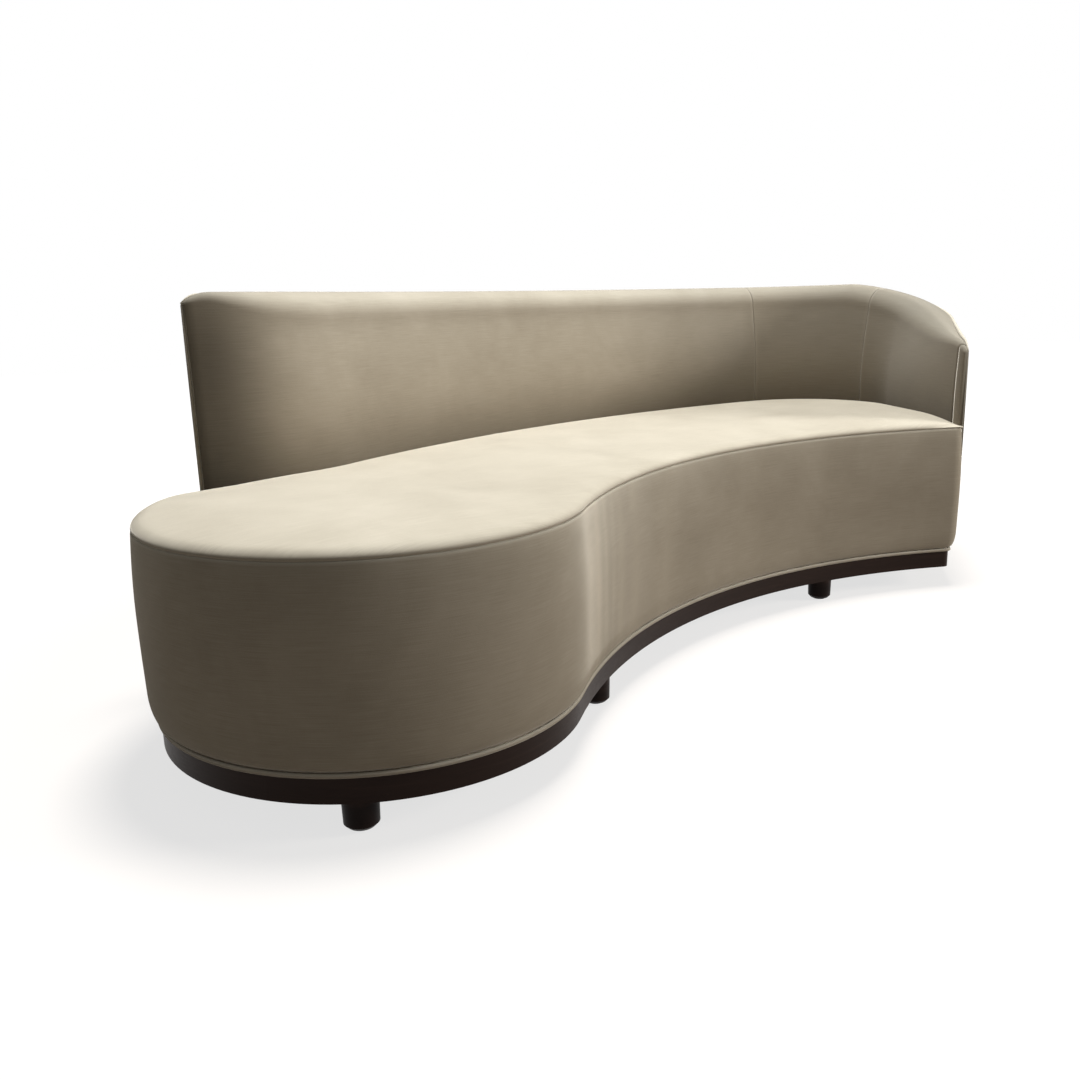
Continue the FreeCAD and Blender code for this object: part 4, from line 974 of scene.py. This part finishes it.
def mohair(name, dark, mid, pale, seam_tone):
    """Short-pile mohair: a fine cross weave under a short pile with soft mottling, pale where a seam is
    rubbed; with painted shade on upright faces, and painted shade and highlights from each point's mark.
    """
    shade = Shade(name)
    cloth = shade.node("ShaderNodeUVMap", uv_map="cloth").outputs[0]
    place = shade.node("ShaderNodeTexCoord").outputs["Object"]
    clouds = shade.noise(place, 5.0, 5.0, 0.6, 0.4)
    slubs = shade.noise(shade.stretched(cloth, (14, 900, 1)), 1.0, 3.0, 0.6)
    fibres = shade.noise(place, 900.0, 2.0, 0.7)
    tone = shade.maths("ADD", shade.maths("MULTIPLY", clouds, 0.45), shade.maths("MULTIPLY", slubs, 0.40))
    tone = shade.maths("ADD", tone, shade.maths("MULTIPLY", fibres, 0.15))
    colour = shade.ramp(tone, [(0.37, dark), (0.50, mid), (0.63, pale)])
    rubbed = shade.node("ShaderNodeAttribute", attribute_name="seam").outputs["Fac"]
    colour = shade.mix(shade.maths("MULTIPLY", rubbed, 0.5), colour, seam_tone)
    # Painted shade from each point's mark, mottled by the clouds; where the mark is negative it is a painted
    # highlight
    painted_shading = shade.node("ShaderNodeAttribute", attribute_name="painted_shading_mark").outputs["Fac"]
    painted_shading_patches = shade.maths("MULTIPLY", painted_shading, shade.maths("ADD", shade.maths("MULTIPLY", clouds, 0.6), 0.7))
    colour = shade.mix(1.0, colour, shade.maths("SUBTRACT", 1.0, painted_shading_patches), "MULTIPLY")
    # Painted shade: the colour darkens as a face turns from upward to upright, standing for the overhead
    # light
    upward = shade.node("ShaderNodeSeparateXYZ", {
        0: shade.node("ShaderNodeNewGeometry").outputs["Normal"]}).outputs[2]
    upright_shade = shade.ramp(upward, [(0.0, UPRIGHT_PAINTED_SHADE), (0.75, (1, 1, 1))])
    colour = shade.mix(1.0, colour, upright_shade, "MULTIPLY")
    weave = shade.maths("ADD", shade.maths("MULTIPLY", slubs, 0.5), shade.maths("MULTIPLY", fibres, 0.5))
    shade.bump(weave, 0.35, 0.0007)
    shade.set(Base_Color=colour, Roughness=0.92, Sheen_Weight=0.55, Sheen_Roughness=0.35,
              Sheen_Tint=(1.0, 0.95, 0.84), Specular_IOR_Level=0.15)
    return shade.material


def stained_wood(name):
    """Espresso stained wood with a satin lacquer: fine grain, pores and slightly worn edges."""
    shade = Shade(name)
    place = shade.node("ShaderNodeTexCoord").outputs["Object"]
    grain = shade.noise(shade.stretched(place, (6, 6, 90)), 1.0, 8.0, 0.65, 0.8)
    pores = shade.noise(shade.stretched(place, (60, 60, 900)), 1.0, 3.0, 0.7)
    colour = shade.ramp(grain, [
        (0.30, (0.007, 0.004, 0.0035)), (0.55, (0.014, 0.008, 0.0065)), (0.78, (0.028, 0.016, 0.012))])
    edges = shade.node("ShaderNodeNewGeometry").outputs["Pointiness"]
    worn = shade.ramp(edges, [(0.50, (0, 0, 0)), (0.58, (1, 1, 1))])
    colour = shade.mix(shade.maths("MULTIPLY", worn, 0.3), colour, (0.05, 0.028, 0.02))
    rough = shade.ramp(pores, [(0.3, (0.34, 0.34, 0.34)), (0.7, (0.48, 0.48, 0.48))])
    shade.bump(pores, 0.12, 0.0005)
    shade.set(
        Base_Color=colour, Roughness=rough, Specular_IOR_Level=0.06, Coat_Weight=0.01, Coat_Roughness=0.3)
    return shade.material


def plain_wood(name, tones, rings):
    """Unfinished wood whose grain is drawn out by a scale along each axis."""
    shade = Shade(name)
    place = shade.node("ShaderNodeTexCoord").outputs["Object"]
    grain = shade.noise(shade.stretched(place, rings), 1.0, 7.0, 0.6, 1.2)
    shade.bump(grain, 0.1, 0.0006)
    shade.set(Base_Color=shade.ramp(grain, tones), Roughness=0.62)
    return shade.material


def woven(name, tones, pitch):
    """Open weave made from two crossed sets of threads."""
    shade = Shade(name)
    place = shade.node("ShaderNodeTexCoord").outputs["Object"]
    threads = {"Vector": place, "Scale": pitch, "Distortion": 0.4}
    warp = shade.node("ShaderNodeTexWave", threads).outputs[1]
    weft = shade.node("ShaderNodeTexWave", threads, bands_direction="Y").outputs[1]
    weave = shade.maths("MULTIPLY", warp, weft)
    shade.bump(weave, 0.4, 0.0006)
    shade.set(Base_Color=shade.ramp(weave, tones), Roughness=0.9)
    return shade.material


def speckled(name, tones, scale, roughness, metallic=0.0):
    """A material with fine uneven specks."""
    shade = Shade(name)
    place = shade.node("ShaderNodeTexCoord").outputs["Object"]
    cells = shade.noise(place, scale, 4.0, 0.6)
    shade.bump(cells, 0.15, 0.0004)
    shade.set(Base_Color=shade.ramp(cells, tones), Roughness=roughness, Metallic=metallic)
    return shade.material


# Both cloth materials carry the painted shade of upright faces
cloth = mohair(
    "mohair_painted_shade", (0.40, 0.36, 0.285), (0.47, 0.43, 0.345), (0.54, 0.495, 0.405), (0.70, 0.66, 0.56))
piping = mohair(
    "mohair_piping_painted_shade", (0.48, 0.44, 0.36), (0.54, 0.50, 0.41), (0.60, 0.56, 0.47), (0.72, 0.68, 0.58))
slots = {
    "stained_wood": stained_wood("espresso_wood"),
    "frame_wood": plain_wood(
        "planed_hardwood", [(0.3, (0.50, 0.34, 0.20)), (0.7, (0.70, 0.52, 0.34))], (40, 40, 5)),
    "plywood": plain_wood(
        "birch_plywood", [(0.3, (0.62, 0.46, 0.28)), (0.7, (0.80, 0.66, 0.46))], (5, 5, 260)),
    "foam": speckled("cut_foam", [(0.35, (0.72, 0.64, 0.42)), (0.65, (0.88, 0.82, 0.60))], 500.0, 0.95),
    "jute_webbing": woven("jute", [(0.1, (0.30, 0.21, 0.12)), (0.6, (0.58, 0.45, 0.28))], 160.0),
    "hessian": woven("open_hessian", [(0.1, (0.30, 0.22, 0.13)), (0.6, (0.62, 0.50, 0.32))], 260.0),
    "black_lining": speckled(
        "black_nonwoven", [(0.3, (0.012, 0.012, 0.013)), (0.7, (0.035, 0.035, 0.037))], 700.0, 0.95),
    "zinc_steel": speckled(
        "zinc_plate", [(0.3, (0.55, 0.56, 0.58)), (0.7, (0.72, 0.73, 0.74))], 300.0, 0.35, 1.0),
    "nylon": speckled("black_nylon", [(0.3, (0.02, 0.02, 0.02)), (0.7, (0.045, 0.045, 0.045))], 400.0, 0.45),
    "mohair": cloth,
    "piping": piping,
}


def dress(piece, material):
    piece.data.materials.clear()
    piece.data.materials.append(material)


for piece in [seat, band, outside] + back_pads:
    dress(piece, cloth)
for piece in (front_welt, rear_welt, top_welt):
    dress(piece, piping)
slot_of = {item["node"]: item["material_slot"] for item in frame["record"]["subparts"]}
for node, piece in frame["nodes"].items():
    piece.data.materials.clear()
    piece.data.materials.append(slots[slot_of[node]])

# Floor, light and camera

FLOOR_BOUNCE = (0.24, 0.22, 0.20)
FLOOR_NEAR, FLOOR_FAR = 0.72, 1.0
FLOOR_REACH = 14.0
GLOW_FROM, GLOW_TO = 1.3, 3.2
AMBIENT = 0.12


def stage_floor():
    """A pale floor: it glows white to the camera further out, and near the sofa it keeps a soft shadow."""
    mesh = bpy.data.meshes.new("floor")
    corners = [(FLOOR_REACH * x, FLOOR_REACH * y, 0) for x, y in ((-1, -1), (1, -1), (1, 1), (-1, 1))]
    mesh.from_pydata(corners, [], [(0, 1, 2, 3)])
    floor = bpy.data.objects.new("floor", mesh)
    bpy.context.collection.objects.link(floor)
    shade = Shade("pale_floor")
    seen = shade.node("ShaderNodeLightPath")
    visible = shade.maths("MAXIMUM", seen.outputs["Is Camera Ray"], seen.outputs["Is Glossy Ray"])
    place = shade.node("ShaderNodeTexCoord").outputs["Object"]
    away = shade.node("ShaderNodeVectorMath", {0: place}, operation="LENGTH").outputs[1]
    glow = shade.node("ShaderNodeMapRange", {
        0: away, 1: GLOW_FROM, 2: GLOW_TO, 3: FLOOR_NEAR, 4: FLOOR_FAR}).outputs[0]
    shade.set(Base_Color=FLOOR_BOUNCE, Roughness=1.0, Specular_IOR_Level=0.0, Emission_Color=(1.0, 1.0, 1.0),
              Emission_Strength=shade.maths("MULTIPLY", visible, glow))
    floor.data.materials.append(shade.material)


stage_floor()

world = bpy.data.worlds.new("studio")
bpy.context.scene.world = world
world.use_nodes = True
nodes, links = world.node_tree.nodes, world.node_tree.links
path = nodes.new("ShaderNodeLightPath")
seen = nodes.new("ShaderNodeMath")
seen.operation = "MAXIMUM"
links.new(path.outputs["Is Camera Ray"], seen.inputs[0])
links.new(path.outputs["Is Glossy Ray"], seen.inputs[1])
mix = nodes.new("ShaderNodeMix")
mix.data_type = "RGBA"
links.new(seen.outputs[0], mix.inputs[0])
mix.inputs[6].default_value = (AMBIENT, AMBIENT, AMBIENT, 1)
mix.inputs[7].default_value = (1, 1, 1, 1)
links.new(mix.outputs[2], nodes["Background"].inputs["Color"])


def area_light(name, place, target, size, power, colour=(1, 1, 1)):
    data = bpy.data.lights.new(name, "AREA")
    data.shape = "DISK"
    data.size = size
    data.energy = power
    data.color = colour
    lamp = bpy.data.objects.new(name, data)
    lamp.location = place
    lamp.rotation_euler = (Vector(target) - Vector(place)).to_track_quat("-Z", "Y").to_euler()
    bpy.context.collection.objects.link(lamp)


area_light("overhead", (0.5, 0.10, 6.0), (0.1, 0.1, 0.4), 1.8, 500)
area_light("key", (3.8, -3.1, 1.8), (0.2, 0, 0.4), 1.4, 150, (1.0, 0.98, 0.95))

CAMERA_PLACE = Vector((-1.4537, -1.7233, 0.7286))
CAMERA_HEADING, CAMERA_PITCH, CAMERA_ROLL = 0.97577, 0.23293, -0.02857
FRAME_PIXELS, FOCAL_PIXELS, SENSOR = 1080, 975.14, 36.0
camera = bpy.data.objects.new("camera", bpy.data.cameras.new("camera"))
bpy.context.collection.objects.link(camera)
camera.data.sensor_width = SENSOR
camera.data.lens = FOCAL_PIXELS * SENSOR / FRAME_PIXELS
ahead = Vector((
    math.cos(CAMERA_PITCH) * math.cos(CAMERA_HEADING), math.cos(CAMERA_PITCH) * math.sin(CAMERA_HEADING),
    -math.sin(CAMERA_PITCH)))
right = Vector((math.sin(CAMERA_HEADING), -math.cos(CAMERA_HEADING), 0))
up = right.cross(ahead)
tilted_right = right * math.cos(CAMERA_ROLL) + up * math.sin(CAMERA_ROLL)
tilted_up = up * math.cos(CAMERA_ROLL) - right * math.sin(CAMERA_ROLL)
axes = Matrix((tilted_right, tilted_up, -ahead)).transposed().to_4x4()
camera.matrix_world = Matrix.Translation(CAMERA_PLACE) @ axes
bpy.context.scene.camera = camera
bpy.context.scene.view_settings.view_transform = "Standard"
